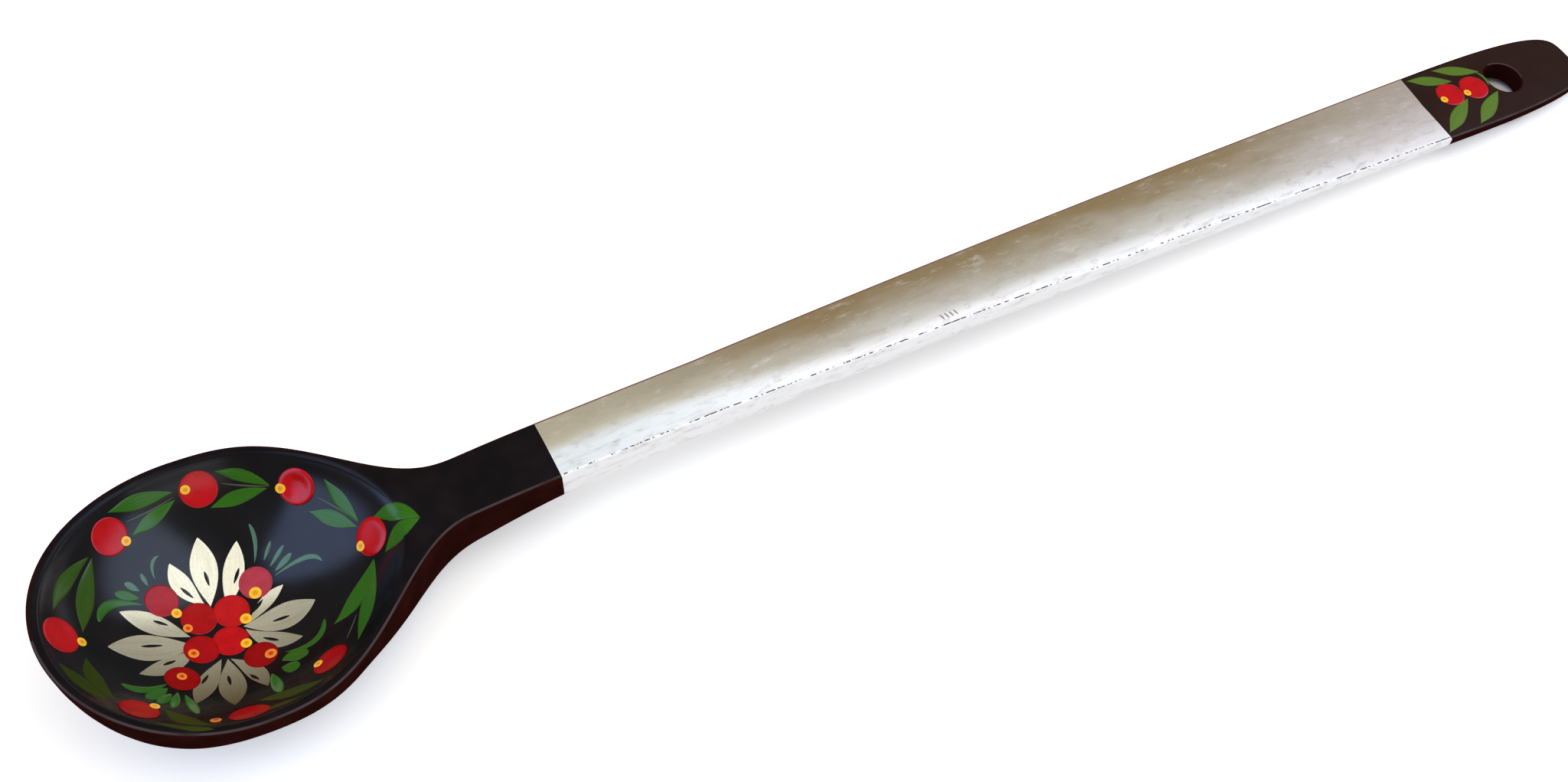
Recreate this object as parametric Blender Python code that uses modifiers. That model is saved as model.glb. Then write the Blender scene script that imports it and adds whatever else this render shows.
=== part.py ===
"""A long-handled painted wooden serving spoon, lying on a table.

The wood is one carved piece: an egg-shaped bowl, a flat neck and a long handle that widens
towards a hanging hole. Over it lie the coats of paint: a metal-powder coat wrapped round the
handle, and the brush strokes of the folk pattern, each a thin film that follows the wood.
Metres, +Z up. The spoon lies as it does on a table, on its belly and the end of its handle.
The origin is on the table, under the widest section of the bowl, and +X runs along the handle.
"""
import math

import bmesh
import bpy
from mathutils import Vector

# The bowl, seen from above
BOWL_WIDTH = 0.069
BOWL_FRONT = 0.0375          # from the widest section forward to the lip
BOWL_RUN_OUT = 0.0565        # from the widest section back to where the neck is straight
RUN_OUT_SHOULDER = 2.65      # how long the bowl stays wide before it draws in
RUN_OUT_SWEEP = 2.85         # how softly it then runs into the neck

# The handle, seen from above
NECK_WIDTH = 0.016
NECK_LENGTH = 0.060          # straight neck, behind the run-out
GRIP_WIDTH = 0.024
GRIP_TAPER = 0.85
HANDLE_END = 0.3865          # from the bowl's widest section to the handle's end
GRIP_FROM_END = 0.0425       # the widest section of the handle
END_ROUND = 0.0355           # length of the rounded end
END_SQUARENESS = 0.2         # 0.5 would be an ellipse, 0 a square end

# The underside
BOWL_DEPTH = 0.0244          # from the rim to the keel, before the belly is sanded flat
BELLY_SANDED = 0.0009
NECK_THICKNESS = 0.0094
END_THICKNESS = 0.0046
KEEL_NOSE = 2.4              # how full the keel is under the lip
KEEL_LENGTH = 0.085          # from the widest section back to where the keel has run out
KEEL_HOLD = 1.5              # how long the keel stays deep before it rises
KEEL_SWEEP = 1.55            # how softly it then runs into the neck
SQUARES_FROM = 0.020         # behind here the bowl's round underside turns into flat sides

# Powers of the underside's curve: 2 is an ellipse, more is squarer
LIP_SECTION = 3.2
BELLY_SECTION = 2.0
NECK_SECTION = 6.0
END_SECTION = 3.0

# The top edge, seen from the side
BOWL_LEVEL = BOWL_DEPTH - BELLY_SANDED
LOWEST_RIM_AT = 0.011
LIP_RISE = 0.0071
NECK_RISE = 0.0032
NECK_RISE_LENGTH = 0.063
HANDLE_ARCH = 0.0029
HANDLE_CROWN = 0.0015        # how far the handle's top swells above its edges
EDGE_ROUND = 0.0007
EDGE_ROUND_LIMIT = 0.3       # share of a thin section that its rounded edge may take

# The hollow
RIM_WIDTH = 0.0023
FLAT_BEHIND_HOLLOW = 0.016   # from the end of the hollow to the straight neck
HOLLOW_BACK = BOWL_RUN_OUT - FLAT_BEHIND_HOLLOW
FLOOR_THICKNESS = 0.0059     # wood under the hollow, before the belly is sanded flat
HOLLOW_DEPTH = BOWL_DEPTH - FLOOR_THICKNESS
HOLLOW_SHOULDER = 2.1
HOLLOW_NOSE = 0.62
HOLLOW_WALL = 0.8
HOLLOW_FRONT = BOWL_FRONT - RIM_WIDTH
HOLLOW_HALF = BOWL_WIDTH / 2 - RIM_WIDTH

# The hanging hole
HOLE_DIAMETER = 0.0105
HOLE_FROM_END = 0.0255
HOLE_AT = HANDLE_END - HOLE_FROM_END

# The coats of paint
BARE_NECK = 0.0195           # black neck between the bowl and the coat
BARE_END = 0.0535            # black end of the handle
COAT_START = BOWL_RUN_OUT + BARE_NECK
COAT_END = HANDLE_END - BARE_END
FILM = 0.0004
GAP = 0.0003
COATED = FILM + GAP

# The bowl's pattern is sized by a round room that just fits the hollow, and every number
# below is a share of half that room, or an angle in degrees
FRONT_ROOM = 0.915           # how much of the hollow's front the room takes
BACK_ROOM = 0.795
ROOM = min(HOLLOW_HALF, FRONT_ROOM * HOLLOW_FRONT, BACK_ROOM * HOLLOW_BACK)

# The bouquet in the middle of the bowl
BOUQUET = (-0.171, -0.031)
PETAL_GROUPS = ((78, 0.69), (-4, 0.69), (-92, 0.67), (-183, 0.596))
PETAL_SPREAD = 21.5
PETAL_START = 0.304
SIDE_PETAL_REACH = 0.89      # the outer two of a group reach this share of the middle one
PETAL_WIDTH = (0.112, 0.174, 0.112)
PETAL_FULLEST = 0.55
BERRY = 0.192
BERRIES_INSIDE = ((113, 0.174), (41, 0.208), (-45, 0.143), (-144, 0.152))
BERRIES_OUTSIDE = ((127, 0.429), (37, 0.472), (-48, 0.435), (-138, 0.429))

# The garland under the rim: its lines are a share of the way to the rim
GARLAND_BERRY = 0.232
GARLAND_BERRIES = (83, 42, 2, -55, -98, -140, 177, 127)
GARLAND_LINE = 0.86
LEAF_WIDTH = 0.108
LEAF_OUTER_LINE = 0.92
LEAF_INNER_LINE = 0.76
LEAF_ROOT_SPLIT = 0.052      # the two leaves of a pair part by this share at their root
LEAF_PAIRS = (
    (54, 71), (94, 115), (139, 164), (-151, -171),
    (-111, -128), (-68, -87), (-9, -43), (12, 30),
)

# The loose brush strokes round the bouquet, as start, middle and end
STROKE_WIDTH = 0.04
STROKES = (
    ((0.366, 0.357), (0.512, 0.304), (0.689, 0.171)),
    ((-0.714, 0.211), (-0.671, 0.317), (-0.553, 0.373)),
    ((0.264, -0.429), (0.419, -0.435), (0.565, -0.311)),
    ((-0.683, -0.388), (-0.606, -0.453), (-0.491, -0.466)),
)

# The sprig on the end of the handle: places are a distance from the hole's edge and a share
# of half the grip's width
TIP_BERRY = 0.0066
TIP_BERRIES = ((0.01365, 0.025), (0.00545, -0.033))
TIP_LEAF_WIDTH = 0.0032
TIP_LEAVES = (
    ((0.02055, 0.71), (0.01095, 0.43)), ((0.01055, 0.82), (0.00075, 0.52)),
    ((0.02075, -0.82), (0.01125, -0.42)), ((0.01075, -0.86), (0.00125, -0.43)),
)

# How finely the shapes are cut into faces
FRONT_ROWS = 11
BACK_ROWS = 16
NECK_ROWS = 4
HANDLE_ROWS = 13
END_ROWS = 10
HOLLOW_ROWS = 15
SPOT_CELLS = (8, 4)


def clamp(value):
    return min(max(value, 0.0), 1.0)


def ease(share):
    share = clamp(share)
    return share * share * (3 - 2 * share)


def half_width(x):
    """Half the spoon's width at x, seen from above."""
    if x < 0:
        return BOWL_WIDTH / 2 * math.sqrt(1 - clamp(-x / BOWL_FRONT) ** 2)
    neck_end = BOWL_RUN_OUT + NECK_LENGTH
    widening = clamp((x - neck_end) / (HANDLE_END - GRIP_FROM_END - neck_end))
    handle = NECK_WIDTH / 2 + (GRIP_WIDTH - NECK_WIDTH) / 2 * widening ** GRIP_TAPER
    rounding = clamp((x - HANDLE_END + END_ROUND) / END_ROUND)
    handle *= (1 - rounding ** 2) ** END_SQUARENESS
    run_out = (1 - clamp(x / BOWL_RUN_OUT) ** RUN_OUT_SHOULDER) ** RUN_OUT_SWEEP
    return handle + (BOWL_WIDTH - NECK_WIDTH) / 2 * run_out


def edge_height(x):
    """Height of the top edge above the table, seen from the side."""
    fall = (BOWL_LEVEL + NECK_RISE - END_THICKNESS) / HANDLE_END
    lip = clamp((LOWEST_RIM_AT - x) / (LOWEST_RIM_AT + BOWL_FRONT))
    along = clamp((x - BOWL_RUN_OUT) / (HANDLE_END - BOWL_RUN_OUT))
    height = BOWL_LEVEL - fall * x + LIP_RISE * lip ** 2
    height += NECK_RISE * ease((x - LOWEST_RIM_AT) / NECK_RISE_LENGTH)
    return height + HANDLE_ARCH * 4 * along * (1 - along)


def keel_depth(x):
    """Depth of the wood below the top edge, along the middle."""
    if x < 0:
        return BOWL_DEPTH * (1 - clamp(-x / BOWL_FRONT) ** KEEL_NOSE) ** (1 / KEEL_NOSE)
    along = clamp((x - KEEL_LENGTH) / (HANDLE_END - KEEL_LENGTH))
    handle = NECK_THICKNESS + (END_THICKNESS - NECK_THICKNESS) * along
    keel = (1 - clamp(x / KEEL_LENGTH) ** KEEL_HOLD) ** KEEL_SWEEP
    return handle + (BOWL_DEPTH - NECK_THICKNESS) * keel


def squareness(x):
    """The power of the underside's curve at x."""
    if x < 0:
        return BELLY_SECTION + (LIP_SECTION - BELLY_SECTION) * ease(-x / BOWL_FRONT)
    squared = ease((x - SQUARES_FROM) / (BOWL_RUN_OUT - SQUARES_FROM))
    along = clamp((x - COAT_START) / (HANDLE_END - COAT_START))
    power = BELLY_SECTION + (NECK_SECTION - BELLY_SECTION) * squared
    return power + (END_SECTION - NECK_SECTION) * along


def crown(x):
    """How far the top swells above its edges: flat at the bowl, crowned on the handle."""
    return HANDLE_CROWN * ease((x - BOWL_RUN_OUT) / NECK_LENGTH)


def top_height(x, y):
    """Height of the wood's top outside the hollow."""
    return edge_height(x) + crown(x) * (1 - clamp(abs(y) / half_width(x)) ** 2)


def hollow_half(x):
    """Half the hollow's width at x, never so wide that the rim gets thin."""
    if x < 0:
        return HOLLOW_HALF * math.sqrt(1 - clamp(-x / HOLLOW_FRONT) ** 2)
    share = (1 - clamp(x / HOLLOW_BACK) ** HOLLOW_SHOULDER) ** HOLLOW_NOSE
    return min(HOLLOW_HALF * share, half_width(x) - RIM_WIDTH)


def hollow_height(x, y):
    """Height of the hollow's surface above the table."""
    inside = max(hollow_half(x) ** 2 - y ** 2, 0.0) / HOLLOW_HALF ** 2
    return edge_height(x) - HOLLOW_DEPTH * inside ** HOLLOW_WALL


def spread(low, high, count):
    """Evenly spaced values from low to high."""
    return [low + (high - low) * i / (count - 1) for i in range(count)]


def section(x, inset=0.0):
    """One closed section across the spoon: over the top, then round underneath."""
    top_columns = 8
    under_columns = 16
    half = half_width(x) - inset
    top = edge_height(x) - inset
    depth = keel_depth(x) - 2 * inset
    corner = min(EDGE_ROUND, EDGE_ROUND_LIMIT * half, EDGE_ROUND_LIMIT * depth)
    points = []
    for t in spread(1, -1, top_columns + 1):
        points.append(Vector((x, t * (half - corner), top + crown(x) * (1 - t * t))))
    power = 2 / squareness(x)
    for turn in spread(0, math.pi, under_columns + 1):
        across = abs(math.cos(turn)) ** power
        down = math.sin(turn) ** power if 0 < turn < math.pi else 0.0
        side = -1 if turn < math.pi / 2 else 1
        points.append(Vector((x, side * across * half, top - corner - (depth - corner) * down)))
    return points


def mesh_object(name, bm, collection, material=None):
    """Turn a bmesh into an object, smooth except at its sharp edges."""
    bmesh.ops.recalc_face_normals(bm, faces=bm.faces)
    mesh = bpy.data.meshes.new(name)
    bm.to_mesh(mesh)
    bm.free()
    mesh.shade_smooth()
    mesh.set_sharp_from_angle(angle=math.radians(35))
    obj = bpy.data.objects.new(name, mesh)
    collection.objects.link(obj)
    if material:
        mesh.materials.append(material)
    return obj


def loft(rings, capped=True):
    """Skin a row of equal rings, and close its two ends."""
    bm = bmesh.new()
    rows = [[bm.verts.new(point) for point in ring] for ring in rings]
    count = len(rings[0])
    for near, far in zip(rows, rows[1:]):
        for i in range(count):
            j = (i + 1) % count
            bm.faces.new((near[i], near[j], far[j], far[i]))
    if capped:
        bm.faces.new(rows[0])
        bm.faces.new(rows[-1])
    return bm


def move_to(obj, collection):
    """Put an object in one collection only."""
    for other in list(obj.users_collection):
        other.objects.unlink(obj)
    collection.objects.link(obj)


def cut(target, cutter, name):
    """Cut one object out of another with a Boolean, and hide the cutter."""
    cutter.hide_render = True
    cutter.display_type = "WIRE"
    boolean = target.modifiers.new(name, "BOOLEAN")
    boolean.operation = "DIFFERENCE"
    boolean.solver = "EXACT"
    boolean.object = cutter


def paint(name, colour, roughness, metallic=0.0):
    """A plain material for one finish."""
    material = bpy.data.materials.new(name)
    material.use_nodes = True
    shader = material.node_tree.nodes["Principled BSDF"]
    shader.inputs["Base Color"].default_value = (*colour, 1.0)
    shader.inputs["Roughness"].default_value = roughness
    shader.inputs["Metallic"].default_value = metallic
    material.diffuse_color = (*colour, 1.0)
    return material


def surface_point(x, y, height):
    """A point lifted off a surface along its normal, by the gap under a film."""
    step = 0.0002
    slope_x = (height(x + step, y) - height(x - step, y)) / (2 * step)
    slope_y = (height(x, y + step) - height(x, y - step)) / (2 * step)
    normal = Vector((-slope_x, -slope_y, 1)).normalized()
    return Vector((x, y, height(x, y))) + normal * (GAP + FILM / 2)


def film(name, path, half, height, material, collection, long_cells=6, cross_cells=2):
    """A brush stroke: a grid laid along a path on a surface, with the film's thickness."""
    blunt_end = 0.03
    step = 0.001
    bm = bmesh.new()
    bmesh.ops.create_grid(bm, x_segments=long_cells, y_segments=cross_cells, size=1.0)
    for vert in bm.verts:
        # Cosine steps give the stroke's rounded ends more rows.
        turn = math.pi * (blunt_end + (1 - 2 * blunt_end) * (vert.co.x + 1) / 2)
        s = 0.5 - 0.5 * math.cos(turn)
        t = vert.co.y
        x, y = path(s)
        ahead_x, ahead_y = path(s + step)
        run = math.hypot(ahead_x - x, ahead_y - y)
        across = t * half(s) / run
        x, y = x - (ahead_y - y) * across, y + (ahead_x - x) * across
        vert.co = surface_point(x, y, height)
    obj = mesh_object(name, bm, collection, material)
    solid = obj.modifiers.new("film thickness", "SOLIDIFY")
    solid.thickness = FILM
    solid.offset = 0.0
    return obj


def straight(start, end):
    """A path from one point to another."""
    def path(s):
        return start[0] + (end[0] - start[0]) * s, start[1] + (end[1] - start[1]) * s
    return path


def bent(start, middle, end):
    """A path curved through a middle point."""
    def path(s):
        a, b, c = (1 - s) * (1 - 2 * s), 4 * s * (1 - s), s * (2 * s - 1)
        return (a * start[0] + b * middle[0] + c * end[0],
                a * start[1] + b * middle[1] + c * end[1])
    return path


def round_half(diameter):
    """Half width of a round spot along its own diameter."""
    return lambda s: diameter * math.sqrt(max(s * (1 - s), 0.0))


def leaf_half(width, fullest=0.45):
    """Half width of a leaf or petal, pointed at both ends and widest at a share of its length."""
    bend = math.log(0.5) / math.log(fullest)
    fullness = 0.9
    return lambda s: width / 2 * math.sin(math.pi * clamp(s) ** bend) ** fullness


def spot_path(x, y, diameter):
    """The path of a round spot: its diameter along the spoon."""
    return straight((x - diameter / 2, y), (x + diameter / 2, y))


def polar(angle, distance):
    """A point at an angle in degrees and a distance from the widest section's middle."""
    turn = math.radians(angle)
    return distance * math.cos(turn), distance * math.sin(turn)


def bouquet_place(angle, share):
    """A point at an angle and a share of the room from the bouquet's middle."""
    x, y = polar(angle, ROOM * share)
    return ROOM * BOUQUET[0] + x, ROOM * BOUQUET[1] + y


def bowl_place(angle, share):
    """A point in the hollow: a share of the way from the widest section's middle to the rim."""
    low, high = 0.0, BOWL_WIDTH
    halvings = 40
    for _ in range(halvings):
        reach = (low + high) / 2
        x, y = polar(angle, reach)
        if abs(y) < hollow_half(x):
            low = reach
        else:
            high = reach
    return polar(angle, low * share)


def tip_place(from_hole, share):
    """A point on the handle's end, measured from the hole's edge and across the grip."""
    return HOLE_AT - HOLE_DIAMETER / 2 - from_hole, share * GRIP_WIDTH / 2


def garland_path(start_angle, end_angle, start_share, end_share):
    """A path that follows the rim round the bowl."""
    def path(s):
        angle = start_angle + (end_angle - start_angle) * s
        return bowl_place(angle, start_share + (end_share - start_share) * s)
    return path


for old in list(bpy.data.objects):
    bpy.data.objects.remove(old, do_unlink=True)

spoon = bpy.data.collections.new("painted_spoon")
cutters = bpy.data.collections.new("cutters")
bpy.context.scene.collection.children.link(spoon)
bpy.context.scene.collection.children.link(cutters)

lacquer = paint("black lacquer", (0.012, 0.011, 0.012), 0.15)
metal_powder = paint("metal powder coat", (0.72, 0.69, 0.60), 0.32, 0.85)
cream = paint("cream paint", (0.86, 0.83, 0.66), 0.35)
red = paint("red paint", (0.62, 0.015, 0.02), 0.25)
green = paint("green paint", (0.09, 0.26, 0.03), 0.3)
teal = paint("teal paint", (0.05, 0.19, 0.12), 0.3)


# The carved wood
def wood_stations():
    """Where the wood's sections lie, with the inset that leaves room for the handle's coat."""
    lip_turn = math.radians(4)
    end_turn = math.radians(88.5)
    front = [-BOWL_FRONT * math.cos(a) for a in spread(lip_turn, math.pi / 2, FRONT_ROWS)]
    back = spread(0, BOWL_RUN_OUT, BACK_ROWS)[1:]
    neck = spread(BOWL_RUN_OUT, COAT_START, NECK_ROWS)[1:]
    handle = spread(COAT_START, COAT_END, HANDLE_ROWS)
    end = [HANDLE_END - END_ROUND + END_ROUND * math.sin(a)
           for a in spread(0, end_turn, END_ROWS)]
    stations = [(x, 0.0) for x in front + back + neck]
    stations += [(x, COATED) for x in handle]
    stations += [(COAT_END, 0.0)]
    stations += [(x, 0.0) for x in end if x > COAT_END]
    return stations


wood = mesh_object("carved_wood", loft([section(x, inset) for x, inset in wood_stations()]),
                   spoon, lacquer)


# The hollow, cut out of the bowl
def hollow_section(x):
    """One section of the hollow's cutter, with a lip that flares above the rim."""
    columns = 20
    crowding = 1.35              # above 1 the columns crowd towards the steep wall
    lip_out = 0.0001
    lip_up = 0.0004
    lid_up = 0.003
    half = hollow_half(x)
    points = [Vector((x, -half - lip_out, edge_height(x) + lip_up))]
    for t in spread(-1, 1, columns + 1)[1:-1]:
        y = half * math.copysign(1 - (1 - abs(t)) ** crowding, t)
        points.append(Vector((x, y, hollow_height(x, y))))
    points.append(Vector((x, half + lip_out, edge_height(x) + lip_up)))
    points.append(Vector((x, half + lip_up, edge_height(x) + lid_up)))
    points.append(Vector((x, -half - lip_up, edge_height(x) + lid_up)))
    return points


front_turns = spread(math.radians(4), math.pi / 2, HOLLOW_ROWS)
back_turns = spread(0, math.radians(85), HOLLOW_ROWS + 1)[1:]
hollow_front = [-HOLLOW_FRONT * math.cos(a) for a in front_turns]
hollow_back = [HOLLOW_BACK * math.sin(a) for a in back_turns]
hollow_cutter = mesh_object("hollow_cutter",
                            loft([hollow_section(x) for x in hollow_front + hollow_back]),
                            cutters)
cut(wood, hollow_cutter, "hollow")

# The hanging hole
hole_level = edge_height(HOLE_AT) - END_THICKNESS / 2
bpy.ops.mesh.primitive_cylinder_add(vertices=32, radius=HOLE_DIAMETER / 2,
                                    depth=4 * END_THICKNESS, location=(HOLE_AT, 0, hole_level))
hole_cutter = bpy.context.object
hole_cutter.name = "hole_cutter"
move_to(hole_cutter, cutters)
cut(wood, hole_cutter, "hanging hole")

# The belly, sanded flat where it rests on the table
bpy.ops.mesh.primitive_cube_add(size=2 * BOWL_WIDTH, location=(0, 0, -BOWL_WIDTH))
belly_cutter = bpy.context.object
belly_cutter.name = "belly_cutter"
move_to(belly_cutter, cutters)
cut(wood, belly_cutter, "flat belly")

# The coat of metal powder, wrapped round the handle
coat_rings = [section(x) for x in spread(COAT_START + GAP, COAT_END - GAP, HANDLE_ROWS)]
coat = mesh_object("handle_metal_coat", loft(coat_rings, capped=False), spoon, metal_powder)
wrap = coat.modifiers.new("coat thickness", "SOLIDIFY")
wrap.thickness = FILM
wrap.offset = -1.0
wrap.use_even_offset = True

# The bouquet's petals, in four groups of three
count = 0
for group, longest in PETAL_GROUPS:
    for step, width in zip((-1, 0, 1), PETAL_WIDTH):
        count += 1
        angle = group + step * PETAL_SPREAD
        reach = longest * (SIDE_PETAL_REACH if step else 1)
        path = straight(bouquet_place(angle, PETAL_START), bouquet_place(angle, reach))
        film(f"petal_{count:02d}", path, leaf_half(ROOM * width, PETAL_FULLEST),
             hollow_height, cream, spoon)

# The bouquet's berries
for i, place in enumerate(BERRIES_INSIDE + BERRIES_OUTSIDE, 1):
    x, y = bouquet_place(*place)
    film(f"bouquet_berry_{i}", spot_path(x, y, ROOM * BERRY), round_half(ROOM * BERRY),
         hollow_height, red, spoon, *SPOT_CELLS)

# The garland's berries and leaves
for i, angle in enumerate(GARLAND_BERRIES, 1):
    x, y = bowl_place(angle, GARLAND_LINE)
    film(f"garland_berry_{i}", spot_path(x, y, ROOM * GARLAND_BERRY),
         round_half(ROOM * GARLAND_BERRY), hollow_height, red, spoon, *SPOT_CELLS)
for i, (root, tip) in enumerate(LEAF_PAIRS, 1):
    for side, line, split in (("outer", LEAF_OUTER_LINE, 1), ("inner", LEAF_INNER_LINE, -1)):
        path = garland_path(root, tip, GARLAND_LINE + split * LEAF_ROOT_SPLIT, line)
        film(f"garland_leaf_{i}_{side}", path, leaf_half(ROOM * LEAF_WIDTH),
             hollow_height, green, spoon)

# The loose strokes round the bouquet
for i, points in enumerate(STROKES, 1):
    start, middle, end = [(ROOM * x, ROOM * y) for x, y in points]
    film(f"sprig_stroke_{i}", bent(start, middle, end), leaf_half(ROOM * STROKE_WIDTH),
         hollow_height, teal, spoon)

# The sprig on the end of the handle
for i, place in enumerate(TIP_BERRIES, 1):
    x, y = tip_place(*place)
    film(f"tip_berry_{i}", spot_path(x, y, TIP_BERRY), round_half(TIP_BERRY),
         top_height, red, spoon, *SPOT_CELLS)
for i, (root, tip) in enumerate(TIP_LEAVES, 1):
    film(f"tip_leaf_{i}", straight(tip_place(*root), tip_place(*tip)),
         leaf_half(TIP_LEAF_WIDTH), top_height, green, spoon)
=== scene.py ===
# %% [markdown]
# # A painted wooden spoon
# This is a long serving spoon, carved from one blank of wood, lacquered black and painted with a
# folk pattern of red berries, pale petals and green leaves. We dress its plain solids in Blender.
# The solids come ready packed, so the first step loads them. Nothing that we build may grow out
# of it.

# %% Load the imported solids
import math

import bmesh
import bpy
import numpy as np
from mathutils import Matrix, Vector


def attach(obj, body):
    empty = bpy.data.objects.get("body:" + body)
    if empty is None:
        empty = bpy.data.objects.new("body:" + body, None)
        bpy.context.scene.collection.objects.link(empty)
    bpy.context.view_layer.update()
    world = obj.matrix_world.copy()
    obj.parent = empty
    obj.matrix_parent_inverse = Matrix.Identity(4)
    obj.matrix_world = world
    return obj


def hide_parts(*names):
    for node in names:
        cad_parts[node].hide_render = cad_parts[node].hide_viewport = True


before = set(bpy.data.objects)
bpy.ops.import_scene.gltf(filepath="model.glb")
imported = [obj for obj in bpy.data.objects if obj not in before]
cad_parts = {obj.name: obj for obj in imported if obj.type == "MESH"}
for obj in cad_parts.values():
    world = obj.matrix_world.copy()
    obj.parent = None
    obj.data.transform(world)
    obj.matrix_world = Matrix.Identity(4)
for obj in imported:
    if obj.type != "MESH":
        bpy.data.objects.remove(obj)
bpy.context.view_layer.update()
print("solids loaded:", len(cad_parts), "nodes")

# %% [markdown]
# ## The form of the wood
# A carver works from two drawings: the outline seen from above and the profile seen from the
# side. Both are written here as plain functions of x, the distance along the spoon from the
# bowl's widest section. Every surface below, wood and paint alike, asks these same functions, so
# a brush stroke always lies on the wood. Sizes are in metres.

# %% The outline, seen from above
MM = 0.001
BOWL_WIDTH = 0.069
BOWL_FRONT = 0.0375
BOWL_RUN_OUT = 0.0565
RUN_OUT_SHOULDER = 2.65
RUN_OUT_SWEEP = 2.85
NECK_WIDTH = 0.016
NECK_LENGTH = 0.060
GRIP_WIDTH = 0.024
GRIP_TAPER = 0.85
HANDLE_END = 0.3865
GRIP_FROM_END = 0.0425
END_ROUND = 0.0355
END_SQUARENESS = 0.2


def clamp(value):
    """A value held between 0 and 1."""
    return min(max(value, 0.0), 1.0)


def ease(share):
    """A share from 0 to 1 that starts and stops gently."""
    share = clamp(share)
    return share * share * (3 - 2 * share)


def spread(low, high, count):
    """Evenly spaced values from low to high."""
    return [low + (high - low) * i / (count - 1) for i in range(count)]


def end_rounding(x):
    """0 along the handle, and up to 1 over its rounded end."""
    return clamp((x - HANDLE_END + END_ROUND) / END_ROUND)


def half_width(x):
    """Half the spoon's width at x."""
    if x < 0:
        return BOWL_WIDTH / 2 * math.sqrt(1 - clamp(-x / BOWL_FRONT) ** 2)
    neck_end = BOWL_RUN_OUT + NECK_LENGTH
    widening = clamp((x - neck_end) / (HANDLE_END - GRIP_FROM_END - neck_end))
    handle = NECK_WIDTH / 2 + (GRIP_WIDTH - NECK_WIDTH) / 2 * widening ** GRIP_TAPER
    handle *= (1 - end_rounding(x) ** 2) ** END_SQUARENESS
    run_out = (1 - clamp(x / BOWL_RUN_OUT) ** RUN_OUT_SHOULDER) ** RUN_OUT_SWEEP
    return handle + (BOWL_WIDTH - NECK_WIDTH) / 2 * run_out


print("spoon length in mm:", round((BOWL_FRONT + HANDLE_END) / MM, 1))

# %% The top edge, seen from the side
BOWL_DEPTH = 0.0244
BELLY_SANDED = 0.0009
BOWL_LEVEL = BOWL_DEPTH - BELLY_SANDED
END_THICKNESS = 0.0046
LOWEST_RIM_AT = 0.011
LIP_RISE = 0.0071
NECK_RISE = 0.0032
NECK_RISE_LENGTH = 0.063
HANDLE_ARCH = 0.0029


def edge_height(x):
    """Height of the top edge above the table."""
    fall = (BOWL_LEVEL + NECK_RISE - END_THICKNESS) / HANDLE_END
    lip = clamp((LOWEST_RIM_AT - x) / (LOWEST_RIM_AT + BOWL_FRONT))
    along = clamp((x - BOWL_RUN_OUT) / (HANDLE_END - BOWL_RUN_OUT))
    height = BOWL_LEVEL - fall * x + LIP_RISE * lip ** 2
    height += NECK_RISE * ease((x - LOWEST_RIM_AT) / NECK_RISE_LENGTH)
    return height + HANDLE_ARCH * 4 * along * (1 - along)


print("height of the lip in mm:", round(edge_height(-BOWL_FRONT) / MM, 1))

# %% The underside, seen from the side and in section
NECK_THICKNESS = 0.0094
KEEL_NOSE = 2.4
KEEL_LENGTH = 0.085
KEEL_HOLD = 1.5
KEEL_SWEEP = 1.55
SQUARES_FROM = 0.020
LIP_SECTION = 3.2
BELLY_SECTION = 2.0
NECK_SECTION = 6.0
END_SECTION = 3.0
COAT_START = 0.076


def keel_depth(x):
    """Depth of the wood below the top edge, along the middle."""
    if x < 0:
        return BOWL_DEPTH * (1 - clamp(-x / BOWL_FRONT) ** KEEL_NOSE) ** (1 / KEEL_NOSE)
    along = clamp((x - KEEL_LENGTH) / (HANDLE_END - KEEL_LENGTH))
    handle = NECK_THICKNESS + (END_THICKNESS - NECK_THICKNESS) * along
    keel = (1 - clamp(x / KEEL_LENGTH) ** KEEL_HOLD) ** KEEL_SWEEP
    return handle + (BOWL_DEPTH - NECK_THICKNESS) * keel


def squareness(x):
    """The power of the underside's curve: 2 is an ellipse, higher is boxier."""
    if x < 0:
        return BELLY_SECTION + (LIP_SECTION - BELLY_SECTION) * ease(-x / BOWL_FRONT)
    squared = ease((x - SQUARES_FROM) / (BOWL_RUN_OUT - SQUARES_FROM))
    along = clamp((x - COAT_START) / (HANDLE_END - COAT_START))
    power = BELLY_SECTION + (NECK_SECTION - BELLY_SECTION) * squared
    return power + (END_SECTION - NECK_SECTION) * along


print("thickness where the coat starts in mm:", round(keel_depth(COAT_START) / MM, 1))

# %% [markdown]
# ## Heights of the two faces
# Next come the heights of the top and the underside at any point. The hollow meets the flat rim
# in an edge that a carver breaks with sandpaper, so the two surfaces are joined by a smooth
# minimum: far from the edge it is simply the lower surface, and close to it the corner is round.

# %% The hollow of the bowl
RIM_WIDTH = 0.0023
HOLLOW_FRONT = BOWL_FRONT - RIM_WIDTH
HOLLOW_HALF = BOWL_WIDTH / 2 - RIM_WIDTH
HOLLOW_BACK = 0.0405
HOLLOW_DEPTH = 0.0185
HOLLOW_SHOULDER = 2.1
HOLLOW_NOSE = 0.62
HOLLOW_WALL = 0.8


def hollow_level(x, y):
    """1 at the middle of the hollow, 0 on its edge, below 0 outside it."""
    if x < 0:
        along = 1 - (x / HOLLOW_FRONT) ** 2
    else:
        left = 1 - (x / HOLLOW_BACK) ** HOLLOW_SHOULDER
        along = math.copysign(abs(left) ** (2 * HOLLOW_NOSE), left)
    return along - (y / HOLLOW_HALF) ** 2


print("width of the hollow in mm:", round(2 * HOLLOW_HALF / MM, 1))

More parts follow.
